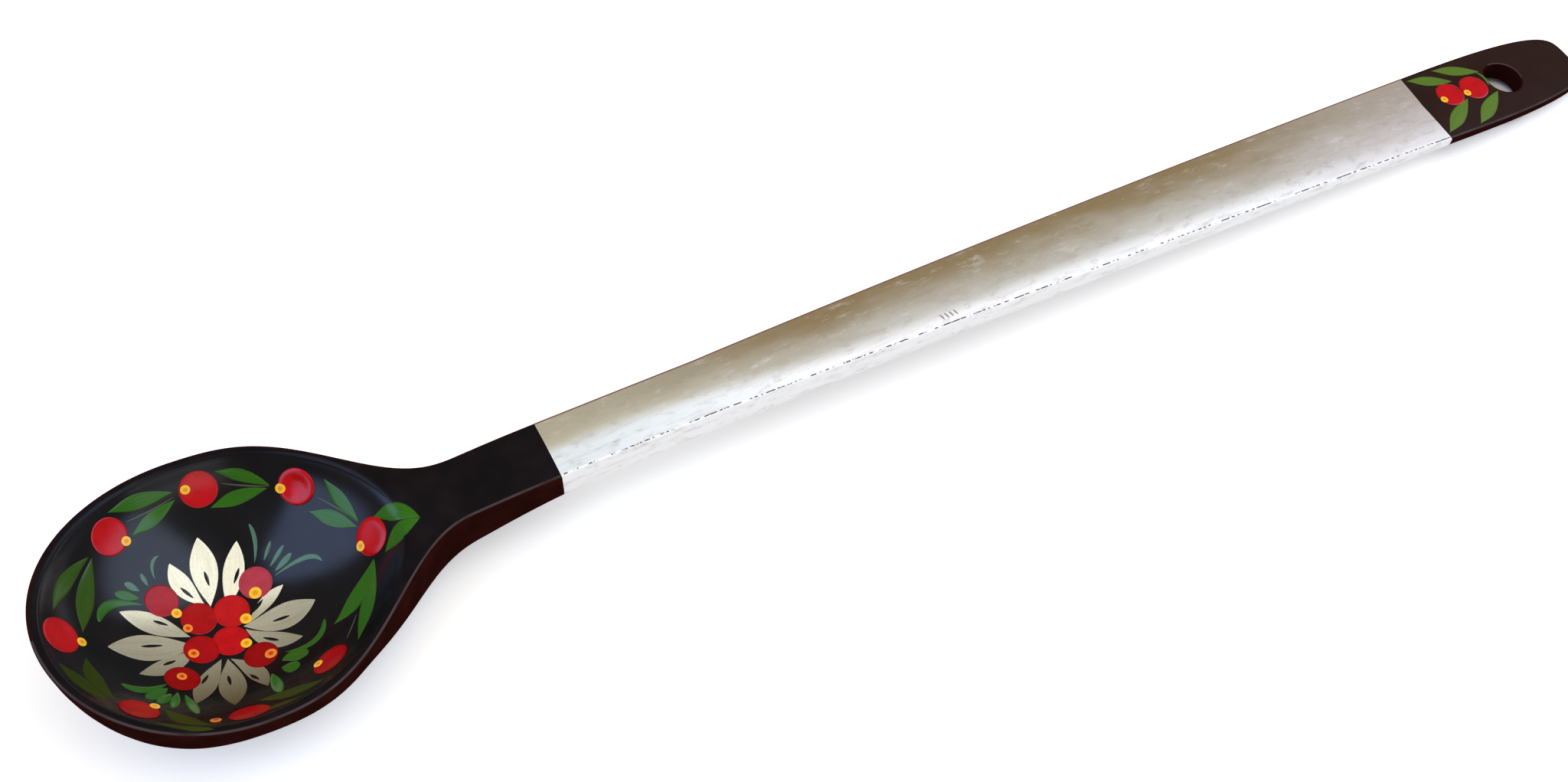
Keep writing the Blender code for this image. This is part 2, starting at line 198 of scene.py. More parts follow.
# %% The top and the underside
EDGE_ROUND = 0.0007
HANDLE_CROWN = 0.0015
HOLLOW_EDGE_SOFT = 0.0022
BELLY_EDGE_SOFT = 0.0003


def smooth_min(a, b, soft):
    """The lower of two heights, with the corner between them rounded off."""
    near = max(soft - abs(a - b), 0.0) / soft
    return min(a, b) - near * near * soft / 4


def top_height(x, y):
    """Height of the upper face: rim, hollow, flat neck and crowned handle."""
    across = clamp(abs(y) / max(half_width(x) - EDGE_ROUND, EDGE_ROUND))
    rounding = end_rounding(x)
    if rounding:
        across = clamp(abs(y) / (GRIP_WIDTH / 2 - EDGE_ROUND))
    crown = HANDLE_CROWN * ease((x - BOWL_RUN_OUT) / NECK_LENGTH)
    level = edge_height(x) + crown * (1 - across ** 2) * (1 - rounding ** 2)
    if x > BOWL_RUN_OUT:
        return level
    inside = hollow_level(x, y)
    hollow = edge_height(x) - HOLLOW_DEPTH * math.copysign(abs(inside) ** HOLLOW_WALL, inside)
    return smooth_min(level, hollow, HOLLOW_EDGE_SOFT)


def under_height(x, across):
    """Height of the underside at a share of the way from the middle to the side."""
    power = squareness(x)
    down = (1 - clamp(across) ** power) ** (1 / power)
    height = edge_height(x) - EDGE_ROUND - max(keel_depth(x) - EDGE_ROUND, 0.0) * down
    return -smooth_min(-height, 0.0, BELLY_EDGE_SOFT)


print("depth of the hollow in mm:", round((edge_height(0) - top_height(0, 0)) / MM, 1))

# %% [markdown]
# ## Black lacquer
# The ground of the whole spoon is black lacquer, rubbed smooth and varnished. On the real thing
# it is mirror-bright in the hollow, where the varnish pools, silkier on the flat rim, and thin and
# dull underneath, where the dark red undercoat shines through. Along the top edges on the -Y side,
# and round the side of the hole that faces the light, the lacquer is grey: rubbed wear, lightened
# further as a painted highlight. So we make one finish for each region, with faint waves in the
# surface so that reflections look hand-made. The hollow's gloss fades towards one wall in steps too
# small to see. Each finish is a small tree of nodes, and a few helpers keep it readable.

# %% Helpers that make and join nodes
def new_finish(name, colour, roughness, metallic=0.0, gloss=0.5):
    """A principled finish with constant values to start from."""
    material = bpy.data.materials.new(name)
    material.use_nodes = True
    shader = material.node_tree.nodes["Principled BSDF"]
    shader.inputs["Base Color"].default_value = (*colour, 1.0)
    shader.inputs["Roughness"].default_value = roughness
    shader.inputs["Metallic"].default_value = metallic
    shader.inputs["Specular IOR Level"].default_value = gloss
    return material, shader


def link(material, value, socket):
    """Link a socket into another, or set a plain value on it."""
    if isinstance(value, bpy.types.NodeSocket):
        material.node_tree.links.new(value, socket)
    else:
        socket.default_value = value


def add(material, kind, inputs=None, **settings):
    """Add a node, set its options, and set or link its inputs."""
    node = material.node_tree.nodes.new("ShaderNode" + kind)
    for option, value in settings.items():
        setattr(node, option, value)
    for socket, value in (inputs or {}).items():
        link(material, value, node.inputs[socket])
    return node


def maths(material, operation, *values):
    """The outcome of one sum on sockets and plain numbers."""
    return add(material, "Math", dict(enumerate(values)), operation=operation).outputs[0]


print("materials before the first finish:", len(bpy.data.materials))

# %% Helpers for patterns and mixtures
def coordinate(material, axis):
    """How far along X, Y or Z of the object a point lies."""
    where = add(material, "TexCoord").outputs["Object"]
    return add(material, "SeparateXYZ", {"Vector": where}).outputs[axis]


def noise(material, scale, detail=2.0, rough=0.5, where=None):
    """Cloudy noise on the object or another map, with one scale, or one along each axis."""
    scale = scale if isinstance(scale, tuple) else (scale, scale, scale)
    where = where or add(material, "TexCoord").outputs["Object"]
    where = add(material, "Mapping", {"Vector": where, "Scale": scale}).outputs["Vector"]
    return add(material, "TexNoise", {"Vector": where, "Scale": 1.0, "Detail": detail,
                                      "Roughness": rough}).outputs["Fac"]


def ramp(material, value, low, high, out_low=0.0, out_high=1.0, shape="SMOOTHSTEP"):
    """Map a value from one range to another, gently unless the shape is LINEAR."""
    node = add(material, "MapRange", {"Value": value, "From Min": low, "From Max": high,
                                      "To Min": out_low, "To Max": out_high},
               interpolation_type=shape)
    return node.outputs["Result"]


def blend(material, share, first, second):
    """Mix two colours."""
    node = add(material, "Mix", {"Factor": share}, data_type="RGBA")
    for value, socket in ((first, node.inputs[6]), (second, node.inputs[7])):
        link(material, (*value, 1.0) if isinstance(value, tuple) else value, socket)
    return node.outputs[2]


def bump(material, shader, height, strength, distance):
    """Raise the finish by a height between 0 and 1, over a real distance in metres."""
    node = add(material, "Bump", {"Height": height, "Strength": strength, "Distance": distance})
    link(material, node.outputs["Normal"], shader.inputs["Normal"])


print("patterns are measured from the object's own origin")

# %% The regions of lacquer
CLOUDS = 160
PATCHES = 70
WAVES = 220
WAVE_HEIGHT = 0.00002
DULL_WALL = (-0.031, -0.014)


def lacquer(name, colour, tint, roughness, gloss, worn=0.0):
    """Black lacquer with faint waves; worn is how much rougher it gets on the -Y wall."""
    material, shader = new_finish(name, colour, roughness, gloss=gloss)
    cloud = ramp(material, noise(material, CLOUDS, 3.0), 0.35, 0.75)
    link(material, blend(material, cloud, colour, tint), shader.inputs["Base Color"])
    uneven = ramp(material, noise(material, PATCHES), 0.3, 0.7, roughness * 0.85, roughness * 1.2)
    rubbed = ramp(material, coordinate(material, "Y"), *DULL_WALL, worn, 0.0)
    link(material, maths(material, "ADD", uneven, rubbed), shader.inputs["Roughness"])
    bump(material, shader, noise(material, WAVES, 1.0), 0.25, WAVE_HEIGHT)
    return material


FLAT, OUTSIDE, EDGE, TIP, INSIDE = range(5)
LACQUERS = (
    ("lacquer_satin", (0.0050, 0.0036, 0.0044), (0.009, 0.006, 0.007), 0.30, 0.2),
    ("lacquer_outside", (0.021, 0.0045, 0.0034), (0.033, 0.007, 0.005), 0.55, 0.0),
    # The edge finish: grey of rubbed lacquer, lightened further as a painted highlight.
    ("lacquer_edge_wear_and_highlight", (0.058, 0.040, 0.041), (0.030, 0.018, 0.018), 0.40, 0.15),
    ("lacquer_tip", (0.028, 0.0130, 0.0100), (0.024, 0.011, 0.008), 0.40, 0.04),
)
HOLLOW_LACQUER = ((0.0045, 0.004, 0.0045), (0.007, 0.006, 0.006), 0.18)
GLOSS_BANDS = ((-0.012, 0.5), (-0.0145, 0.36), (-0.017, 0.25), (-0.0195, 0.16), (-0.022, 0.10),
               (-0.0245, 0.06), (-1.0, 0.035))
lacquers = [lacquer(*row) for row in LACQUERS]
for i, (_, gloss) in enumerate(GLOSS_BANDS, 1):
    lacquers.append(lacquer(f"lacquer_gloss_{i}", *HOLLOW_LACQUER, gloss, worn=0.12))
print("lacquer finishes:", len(lacquers))

# %% [markdown]
# ## A lattice of points for the wood
# The real spoon has no seam, so its mesh has none either. It is made of three fields of points
# that share their borders: rays that fan out from the middle of the bowl, cross-sections along
# the handle, and rays round the hanging hole. A fan follows a round form far better than a square
# grid does, and the reflections in the lacquer show it.

# %% Cut lines and cross-sections
BOWL_CUT = 0.044             # where the bowl's fan ends and the sections start
HOLE_CUT = 0.345             # where the sections end and the hole's fan starts
CROSS_CELLS = 28
EDGE_TURNS = spread(0, math.pi / 2, 5)


def section_top(x):
    """Points across the flat top at x, from -Y to +Y, short of the rounded edges."""
    half = half_width(x) - EDGE_ROUND
    return [Vector((x, t * half, top_height(x, t * half))) for t in spread(-1, 1, CROSS_CELLS + 1)]


def section_under(x):
    """Points along the underside at x, from the -Y side to the +Y side."""
    points = []
    for share in spread(0, 1, CROSS_CELLS + 1):
        turn = math.pi / 2 * (1 - math.cos(math.pi * share))
        across = abs(math.cos(turn)) ** (2 / squareness(x))
        y = half_width(x) * math.copysign(across, share - 0.5)
        points.append(Vector((x, y, under_height(x, across))))
    return points


def rounded_edge(point, inset, height):
    """Points from the flat top round the edge to the side, for one place on the outline."""
    corner = []
    for turn in EDGE_TURNS:
        flat = point + inset * (1 - math.sin(turn))
        corner.append(Vector((flat.x, flat.y, height - EDGE_ROUND * (1 - math.cos(turn)))))
    return corner


print("points round a section:", len(section_top(HOLE_CUT)) + len(section_under(HOLE_CUT)))

# %% Outlines seen from above
def even_steps(points, step):
    """The same line with its points an even step apart."""
    runs = [0.0]
    for a, b in zip(points, points[1:]):
        runs.append(runs[-1] + (b - a).length)
    count = round(runs[-1] / step)
    made = []
    index = 0
    for target in spread(0, runs[-1], count + 1):
        while index < len(runs) - 2 and runs[index + 1] < target:
            index += 1
        share = (target - runs[index]) / (runs[index + 1] - runs[index])
        made.append(points[index].lerp(points[index + 1], clamp(share)))
    return made


def insets(line, middle, cut, reach):
    """For each point of an outline, the step inwards to where its edge starts to round."""
    steps = []
    for i, point in enumerate(line):
        along = (line[min(i + 1, len(line) - 1)] - line[max(i - 1, 0)]).normalized()
        inward = Vector((along.y, -along.x)) * EDGE_ROUND
        if inward.dot(middle - point) < 0:
            inward = -inward
        square = Vector((0, math.copysign(EDGE_ROUND, -point.y)))
        steps.append(square.lerp(inward, ease(abs(point.x - cut) / reach)))
    return steps


SIDE_SAMPLES = 120
NOSE_SAMPLES = 400
END_SAMPLES = 500
OUTLINE_STEP = 0.0011
bowl_side = [Vector((x, -half_width(x))) for x in spread(BOWL_CUT, 0, SIDE_SAMPLES)]
bowl_nose = [Vector((-BOWL_FRONT * math.sin(a), -BOWL_WIDTH / 2 * math.cos(a)))
             for a in spread(0, math.pi, NOSE_SAMPLES)]
other_side = [Vector((point.x, -point.y)) for point in reversed(bowl_side)]
bowl_line = even_steps(bowl_side + bowl_nose[1:-1] + other_side, OUTLINE_STEP)
end_side = [Vector((HOLE_CUT, -GRIP_WIDTH / 2))]
for a in spread(0, math.pi / 2, END_SAMPLES):
    end_side.append(Vector((HANDLE_END - END_ROUND * (1 - math.sin(a)),
                            -GRIP_WIDTH / 2 * math.cos(a) ** (2 * END_SQUARENESS))))
other_side = [Vector((point.x, -point.y)) for point in reversed(end_side)]
end_line = even_steps(end_side + other_side[1:], OUTLINE_STEP)
print("outline points:", len(bowl_line), "round the bowl,", len(end_line), "round the end")

# %% [markdown]
# ## Skinning the lattice
# One small class keeps all the points and faces. It joins two neighbouring rows with quads, and
# notes for each face which finish it will carry: the gloss inside the hollow, the satin of the
# flat rim and neck, the rubbed grey edge with its painted highlight, the dull red-brown
# underneath, or the dull tip of the handle.

# %% A builder for one seamless body
WELD = 2e-6
NO_LENGTH = 1e-7


def put(name, data):
    """A new object in the scene."""
    obj = bpy.data.objects.new(name, data)
    bpy.context.scene.collection.objects.link(obj)
    return obj


class Lattice:
    """Rows of points joined by quads, with a finish for each face."""

    def __init__(self):
        self.bm = bmesh.new()

    def row(self, points):
        return [self.bm.verts.new(point) for point in points]

    def join(self, near, far, finish, closed=False):
        count = len(near)
        for i in range(count if closed else count - 1):
            j = (i + 1) % count
            self.face((near[i], near[j], far[j], far[i]), finish)

    def fan(self, centre, ring, finish):
        middle = self.bm.verts.new(centre)
        for i, vert in enumerate(ring):
            self.face((middle, vert, ring[(i + 1) % len(ring)]), finish)

    def face(self, corners, finish):
        face = self.bm.faces.new(corners)
        face.material_index = finish
        face.smooth = True

    def weld(self):
        """Join the borders that fields of points share, and count what stays open."""
        bmesh.ops.remove_doubles(self.bm, verts=self.bm.verts, dist=WELD)
        bmesh.ops.dissolve_degenerate(self.bm, edges=self.bm.edges, dist=NO_LENGTH)
        print("open edges:", sum(1 for edge in self.bm.edges if not edge.is_manifold))

    def finish(self, name, materials):
        """Turn the points and faces into an object."""
        bmesh.ops.recalc_face_normals(self.bm, faces=self.bm.faces)
        mesh = bpy.data.meshes.new(name)
        self.bm.to_mesh(mesh)
        self.bm.free()
        for material in materials:
            mesh.materials.append(material)
        return put(name, mesh)


wood = Lattice()
print("points in the empty lattice:", len(wood.bm.verts))

# %% [markdown]
# ## The bowl
# Each ray runs from the middle of the bowl over the hollow, up its wall, over the sanded edge and
# across the rim. Rows crowd where the form turns fast. The underside is a second fan below it,
# spaced by the cosine so that its steep sides get as many rows as its flat middle.

# %% The bowl's upper face
HOLLOW_ROWS = 24
HOLLOW_CROWDING = 1.4
EDGE_ROWS = (-0.8, -0.55, -0.38, -0.24, -0.12, 0.0, 0.12, 0.26, 0.42, 0.62)
RIM_SHARES = (0.25, 0.55, 1.0)
BOWL_TURN_REACH = 0.015
HALVINGS = 40


def to_hollow_edge(target):
    """Share of the way from the middle to a target where the hollow's edge lies."""
    low, high = 0.0, 1.0
    for _ in range(HALVINGS):
        share = (low + high) / 2
        if hollow_level(target.x * share, target.y * share) > 0:
            low = share
        else:
            high = share
    return low


def ray_over_hollow(target):
    """Points from the middle of the hollow over its edge and the rim to a target."""
    edge = to_hollow_edge(target) * target.length
    first = edge + EDGE_ROWS[0] * MM
    last = edge + EDGE_ROWS[-1] * MM
    runs = [first * (1 - (1 - s) ** HOLLOW_CROWDING) for s in spread(0, 1, HOLLOW_ROWS + 1)[1:]]
    runs += [edge + offset * MM for offset in EDGE_ROWS[1:]]
    runs += [last + (target.length - last) * share for share in RIM_SHARES]
    spots = [target.normalized() * run for run in runs]
    return [Vector((*spot, top_height(*spot))) for spot in spots]


bowl_insets = insets(bowl_line, Vector((0, 0)), BOWL_CUT, BOWL_TURN_REACH)
rim_targets = [point + step for point, step in zip(bowl_line, bowl_insets)]
rim_targets += [point.xy for point in reversed(section_top(BOWL_CUT)[1:-1])]
rows = [wood.row(points) for points in zip(*[ray_over_hollow(target) for target in rim_targets])]
wood.fan(Vector((0, 0, top_height(0, 0))), rows[0], INSIDE)
inside_rows = HOLLOW_ROWS + EDGE_ROWS.index(0.0)
for i, (near, far) in enumerate(zip(rows, rows[1:])):
    wood.join(near, far, INSIDE if i < inside_rows else FLAT, closed=True)
print("rays in the bowl's fan:", len(rim_targets))

# %% The bowl's edge and underside
UNDER_ROWS = 26
RUBBED_AND_LIT_STRIPS = 2
edges = [rounded_edge(point, step, edge_height((point + step).x))
         for point, step in zip(bowl_line, bowl_insets)]
edge_rows = [rows[-1][:len(bowl_line)]] + [wood.row(points) for points in zip(*edges)][1:]
for i, (near, far) in enumerate(zip(edge_rows, edge_rows[1:])):
    wood.join(near, far, EDGE if i < RUBBED_AND_LIT_STRIPS else OUTSIDE)
cut_under = list(reversed(section_under(BOWL_CUT)[1:-1]))
under_targets = bowl_line + [point.xy for point in cut_under]
low_row = edge_rows[-1] + wood.row(cut_under)
for turn in spread(0, math.pi / 2, UNDER_ROWS + 1)[1:-1]:
    spots = [target * math.cos(turn) for target in under_targets]
    next_row = wood.row([Vector((x, y, under_height(x, abs(y) / half_width(x))))
                         for x, y in spots])
    wood.join(low_row, next_row, OUTSIDE, closed=True)
    low_row = next_row
wood.fan(Vector((0, 0, under_height(0, 0))), low_row, OUTSIDE)
print("bowl points:", len(wood.bm.verts))

# %% [markdown]
# ## The neck and the handle
# Between the two fans the spoon is long and simple, and cross-sections a few millimetres apart
# describe it best. Each section is a closed ring: the crowned top, one rounded edge, the
# underside and the other rounded edge.

# %% Sections along the handle
NECK_STEP = 0.0014
HANDLE_STEP = 0.0026
COAT_END = 0.333


def section_ring(x):
    """One closed ring of points round the handle at x."""
    side = Vector((x, half_width(x)))
    inset = Vector((0, EDGE_ROUND))
    top = section_top(x)
    left = rounded_edge(side, -inset, edge_height(x))
    right = rounded_edge(Vector((x, -side.y)), inset, edge_height(x))
    return top + left[1:-1] + list(reversed(section_under(x))) + list(reversed(right[1:-1]))


flat_cells = CROSS_CELLS
ring_cells = 2 * (CROSS_CELLS + 1) + 2 * (len(EDGE_TURNS) - 2)
edge_cells = (flat_cells, flat_cells + 1, ring_cells - 2, ring_cells - 1)
neck_stations = spread(BOWL_CUT, COAT_START, round((COAT_START - BOWL_CUT) / NECK_STEP) + 1)
grip_stations = spread(COAT_START, HOLE_CUT, round((HOLE_CUT - COAT_START) / HANDLE_STEP) + 1)
last_ring = None
for x in neck_stations + grip_stations[1:]:
    ring = wood.row(section_ring(x))
    if last_ring:
        for i in range(len(ring)):
            j = (i + 1) % len(ring)
            finish = FLAT if i < flat_cells else OUTSIDE
            finish = TIP if finish == FLAT and x > COAT_END else finish
            finish = EDGE if i in edge_cells else finish
            wood.face((last_ring[i], last_ring[j], ring[j], ring[i]), finish)
    last_ring = ring
print("rings along the handle:", len(neck_stations) + len(grip_stations) - 1)

# %% [markdown]
# ## The end with its hanging hole
# The hole is drilled after carving, and its edges are eased so that a cord wouldn't fray. Rays
# run from the hole out to the rounded end, above and below, and a short wall joins them inside
# the hole.

# %% The hole and its wall
HOLE_RADIUS = 0.00525
HOLE_FROM_END = 0.0255
HOLE_AT = HANDLE_END - HOLE_FROM_END
HOLE_ROUND = 0.0005
END_TURN_REACH = 0.006
FINE_STEP = 0.0002
hole_middle = Vector((HOLE_AT, 0))
outline_array = np.array([tuple(point) for point in even_steps(end_line, FINE_STEP)])


def side_share(x, y):
    """Share of the way from the end's middle to its nearest side."""
    distance = np.hypot(*(outline_array - (x, y)).T).min()
    return 1 - clamp(distance / (GRIP_WIDTH / 2))


def top_point(spot):
    """The point of the upper face at a spot seen from above."""
    return Vector((*spot, top_height(*spot)))


def low_point(spot):
    """The point of the underside at a spot seen from above."""
    return Vector((*spot, under_height(spot.x, side_share(*spot))))


end_insets = insets(end_line, hole_middle, HOLE_CUT, END_TURN_REACH)
end_under = list(reversed(section_under(HOLE_CUT)[1:-1]))
top_targets = [point + step for point, step in zip(end_line, end_insets)]
top_targets += [point.xy for point in reversed(section_top(HOLE_CUT)[1:-1])]
low_targets = end_line + [point.xy for point in end_under]
headings = [(target - hole_middle).normalized() for target in top_targets]
upper_wall = []
lower_wall = []
for turn in EDGE_TURNS:
    out = HOLE_RADIUS + HOLE_ROUND * (1 - math.sin(turn))
    dip = Vector((0, 0, HOLE_ROUND * (1 - math.cos(turn))))
    spots = [hole_middle + heading * out for heading in headings]
    upper_wall.append([top_point(spot) - dip for spot in spots])
    lower_wall.insert(0, [low_point(spot) + dip for spot in spots])
wall_rows = [wood.row(points) for points in upper_wall + lower_wall]
for i, (near, far) in enumerate(zip(wall_rows, wall_rows[1:])):
    wood.join(near, far, EDGE if i < RUBBED_AND_LIT_STRIPS else OUTSIDE, closed=True)
print("points round the hole:", len(headings))

# %% Join the hole to the end's outline
HOLE_SHARES = (0.06, 0.15, 0.28, 0.43, 0.58, 0.73, 0.86, 0.95, 1.0)
SIDE_SHARES = (0.002, 0.012, 0.035, 0.075, 0.13, 0.22, 0.34, 0.5, 0.68, 0.85)
mouth = [hole_middle + heading * (HOLE_RADIUS + HOLE_ROUND) for heading in headings]
near = wall_rows[0]
for share in HOLE_SHARES:
    far = wood.row([top_point(a.lerp(b, share)) for a, b in zip(mouth, top_targets)])
    wood.join(near, far, TIP, closed=True)
    near = far
edges = [rounded_edge(point, step, top_height(*(point + step)))
         for point, step in zip(end_line, end_insets)]
edge_rows = [near[:len(end_line)]] + [wood.row(points) for points in zip(*edges)][1:]
for i, (upper, lower) in enumerate(zip(edge_rows, edge_rows[1:])):
    wood.join(upper, lower, EDGE if i < RUBBED_AND_LIT_STRIPS else OUTSIDE)
near = edge_rows[-1] + wood.row(end_under)
for share in SIDE_SHARES:
    far = wood.row([low_point(b.lerp(a, share)) for a, b in zip(mouth, low_targets)])
    wood.join(near, far, OUTSIDE, closed=True)
    near = far
wood.join(near, wall_rows[-1], OUTSIDE, closed=True)
print("all points of the wood:", len(wood.bm.verts))

# %% Sort the finishes and close the body
LIGHT_FROM = Vector((0.8, 0.6))
LIT = 0.5
HOLE_EDGE_REACH = HOLE_RADIUS + MM
# Edge faces keep the grey finish, partly wear and partly painted highlight, only on the -Y side and
# round the hole on the side that faces LIGHT_FROM; the rest take the dark outside finish.
for face in wood.bm.faces:
    middle = face.calc_center_median().xy
    from_hole = middle - hole_middle
    if face.material_index == INSIDE:
        face.material_index += next(i for i, (y, _) in enumerate(GLOSS_BANDS) if middle.y > y)
    elif face.material_index == EDGE and from_hole.length < HOLE_EDGE_REACH:
        if from_hole.normalized().dot(LIGHT_FROM) <= LIT:
            face.material_index = OUTSIDE
    elif face.material_index == EDGE and middle.y > 0:
        face.material_index = OUTSIDE
wood.weld()
spoon = wood.finish("lacquered_wood", lacquers)
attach(spoon, "root")
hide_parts("carved_wood")
print("faces of the wood:", len(spoon.data.polygons))

# %% [markdown]
# ## The metal-powder coat
# The handle wears a coat of metal powder, rubbed into half-dry varnish: silver, with pale gold
# dusted along one side. It is a sleeve round the wood. A full metal shader would look like polished
# steel, so this one is nearly matt. Its tones are laid on by place, light and shade among them: the
# gold side is also darkened as painted shade, and the other side is lightened to white as a painted
# highlight. Every point of the sleeve keeps how far along it lies, from 0 to 1, and how far across,
# from -1 to 1.

# %% Tones of the metal powder
POWDER_SILVER = (0.56, 0.54, 0.47)
POWDER_NECK = (0.62, 0.60, 0.47)
POWDER_LILAC = (0.62, 0.56, 0.53)
POWDER_PALE_AND_HIGHLIGHT = (0.97, 0.96, 0.93)
POWDER_COOL_HIGHLIGHT = (0.80, 0.85, 0.86)
POWDER_GOLD_AND_SHADE = (0.305, 0.218, 0.098)
POWDER_DULL = (0.33, 0.29, 0.21)
NECK_FADE = (0.02, 0.32)
TIP_FADE = (0.66, 1.0)
DRIFT = 0.8
GOLD_AND_SHADE_FADE = (-0.80, 0.85)
GOLD_AND_SHADE_AT_ENDS = 0.45
LIT_FADE = (-0.95, -0.42)
LIT_NARROWER_AT_NECK = -0.55
LIT_AT_TIP = 0.55
RIM_HIGHLIGHT_FADE = (-0.98, -0.88)
powder, shader = new_finish("metal_powder", POWDER_SILVER, 0.48, metallic=0.2)


def graded(value, low, high, out_low=0.0, out_high=1.0):
    """A share that fades in over a range of a value."""
    return ramp(powder, value, low, high, out_low, out_high)


def both(first, second):
    """Two shares multiplied."""
    return maths(powder, "MULTIPLY", first, second)


def overlaid(under, over, amount):
    """A tone with a second one laid over it by a share."""
    return blend(powder, amount, under, over)


sleeve_place = add(powder, "Attribute", attribute_name="sleeve").outputs["Vector"]
sleeve_place = add(powder, "SeparateXYZ", {"Vector": sleeve_place}).outputs
across = sleeve_place["Y"]
at_neck = graded(sleeve_place["X"], *NECK_FADE, 1.0, 0.0)
at_tip = graded(sleeve_place["X"], *TIP_FADE)
# Gold over the +Y side: dusted gold, and also painted shade, since it darkens that side.
drift = noise(powder, (45, 130, 130), 5.0, 0.6)
drift = ramp(powder, drift, 0.0, 1.0, -DRIFT, DRIFT, "LINEAR")
gilt_and_shade = graded(maths(powder, "ADD", across, drift), *GOLD_AND_SHADE_FADE)
for near_end in (at_neck, at_tip):
    gilt_and_shade = both(gilt_and_shade, graded(near_end, 0.0, 1.0, 1.0, GOLD_AND_SHADE_AT_ENDS))
# The -Y side is lightened towards white as a painted highlight, cooler at the neck and weaker at
# the tip.
reach = maths(powder, "MULTIPLY_ADD", at_neck, LIT_NARROWER_AT_NECK, across)
lit_edge = both(graded(reach, *LIT_FADE, 1.0, 0.0), graded(at_tip, 0.0, 1.0, 1.0, LIT_AT_TIP))
colour = overlaid(overlaid(POWDER_SILVER, POWDER_NECK, at_neck), POWDER_LILAC, at_tip)
colour = overlaid(colour, POWDER_GOLD_AND_SHADE, gilt_and_shade)
colour = overlaid(colour, overlaid(POWDER_PALE_AND_HIGHLIGHT, POWDER_COOL_HIGHLIGHT, at_neck), lit_edge)
# The last strip along the -Y edge is a nearly white painted highlight.
colour = overlaid(colour, POWDER_PALE_AND_HIGHLIGHT, graded(across, *RIM_HIGHLIGHT_FADE, 1.0, 0.0))
print("nodes in the powder so far:", len(powder.node_tree.nodes))

# %% Streaks, blotches and grain in the powder
GRAIN = 1400
GRAIN_HEIGHT = 0.00004
# Each row: scale along X, Y and Z, roughness, where the mark fades in, its most, its tone.
MARKS = (
    ((60, 900, 900), 0.6, 0.48, 0.80, 0.30, POWDER_DULL),
    ((230, 480, 480), 0.7, 0.50, 0.72, 0.40, POWDER_DULL),
    ((170, 420, 420), 0.7, 0.54, 0.76, 0.32, POWDER_PALE_AND_HIGHLIGHT),
)
for scale, rough, low, high, most, tone in MARKS:
    cloud = noise(powder, scale, 5.0, rough)
    colour = overlaid(colour, tone, graded(cloud, low, high, 0.0, most))
link(powder, colour, shader.inputs["Base Color"])
bump(powder, shader, noise(powder, GRAIN), 0.3, GRAIN_HEIGHT)
powder_edge, shader = new_finish("powder_edge", (0.20, 0.105, 0.070), 0.5, gloss=0.2)
# The -Y edge line of the coat is nearly white as a painted highlight, broken by dark gaps.
near_edge_highlight_line, shader = new_finish("powder_near_edge_highlight", POWDER_PALE_AND_HIGHLIGHT, 0.5, gloss=0.2)
EDGE_LINE_GAPS = (0.035, 0.025, 0.022)
gaps = ramp(near_edge_highlight_line, noise(near_edge_highlight_line, 900), 0.46, 0.54, 1.0, 0.0)
link(near_edge_highlight_line, blend(near_edge_highlight_line, gaps, POWDER_PALE_AND_HIGHLIGHT, EDGE_LINE_GAPS), shader.inputs["Base Color"])
coat_finishes = (powder, powder_edge, near_edge_highlight_line)
print("finishes of the coat:", len(coat_finishes))

# %% The sleeve round the handle
COAT_OUT = 0.00005
COAT_IN = 0.00015
COAT_STEP = 0.0015
LIP = 0.0001
TRIM_REACH = 0.009
END_FAR = 0.0010
END_SWELL = 0.0013


def coat_ring(x, lift):
    """A ring of the handle's section, lifted off the wood."""
    ring = section_ring(x)
    lifted = []
    for i, point in enumerate(ring):
        run = ring[(i + 1) % len(ring)] - ring[i - 1]
        lifted.append(point + Vector((0, run.z, -run.y)).normalized() * -lift)
    return lifted


def trimmed(x, ring):
    """Shift a ring near the coat's far end, whose masked edge wasn't cut quite square."""
    near_end = ease((x - COAT_END + TRIM_REACH) / TRIM_REACH)
    made = []
    for point in ring:
        out = clamp(abs(point.y) / half_width(x))
        swell = 1 - out ** 2 if point.z > edge_height(x) - EDGE_ROUND else 0.0
        far = out if point.y > 0 else 0.0
        there = x + near_end * (END_FAR * far - END_SWELL * swell)
        y = point.y * half_width(there) / half_width(x)
        made.append(Vector((there, y, point.z + edge_height(there) - edge_height(x))))
    return made


sleeve = Lattice()
stations = spread(COAT_START, COAT_END, round((COAT_END - COAT_START) / COAT_STEP) + 1)
stations = stations[:1] + [COAT_START + LIP] + stations[1:-1] + [COAT_END - LIP] + stations[-1:]
outer = [sleeve.row(trimmed(x, coat_ring(x, COAT_OUT))) for x in stations]
inner = [sleeve.row(trimmed(x, coat_ring(x, -COAT_IN))) for x in stations]
for rows in (outer, inner):
    for near, far in zip(rows, rows[1:]):
        sleeve.join(near, far, 0, closed=True)
for end in (0, -1):
    sleeve.join(outer[end], inner[end], 0, closed=True)
print("rings of the sleeve:", len(stations))

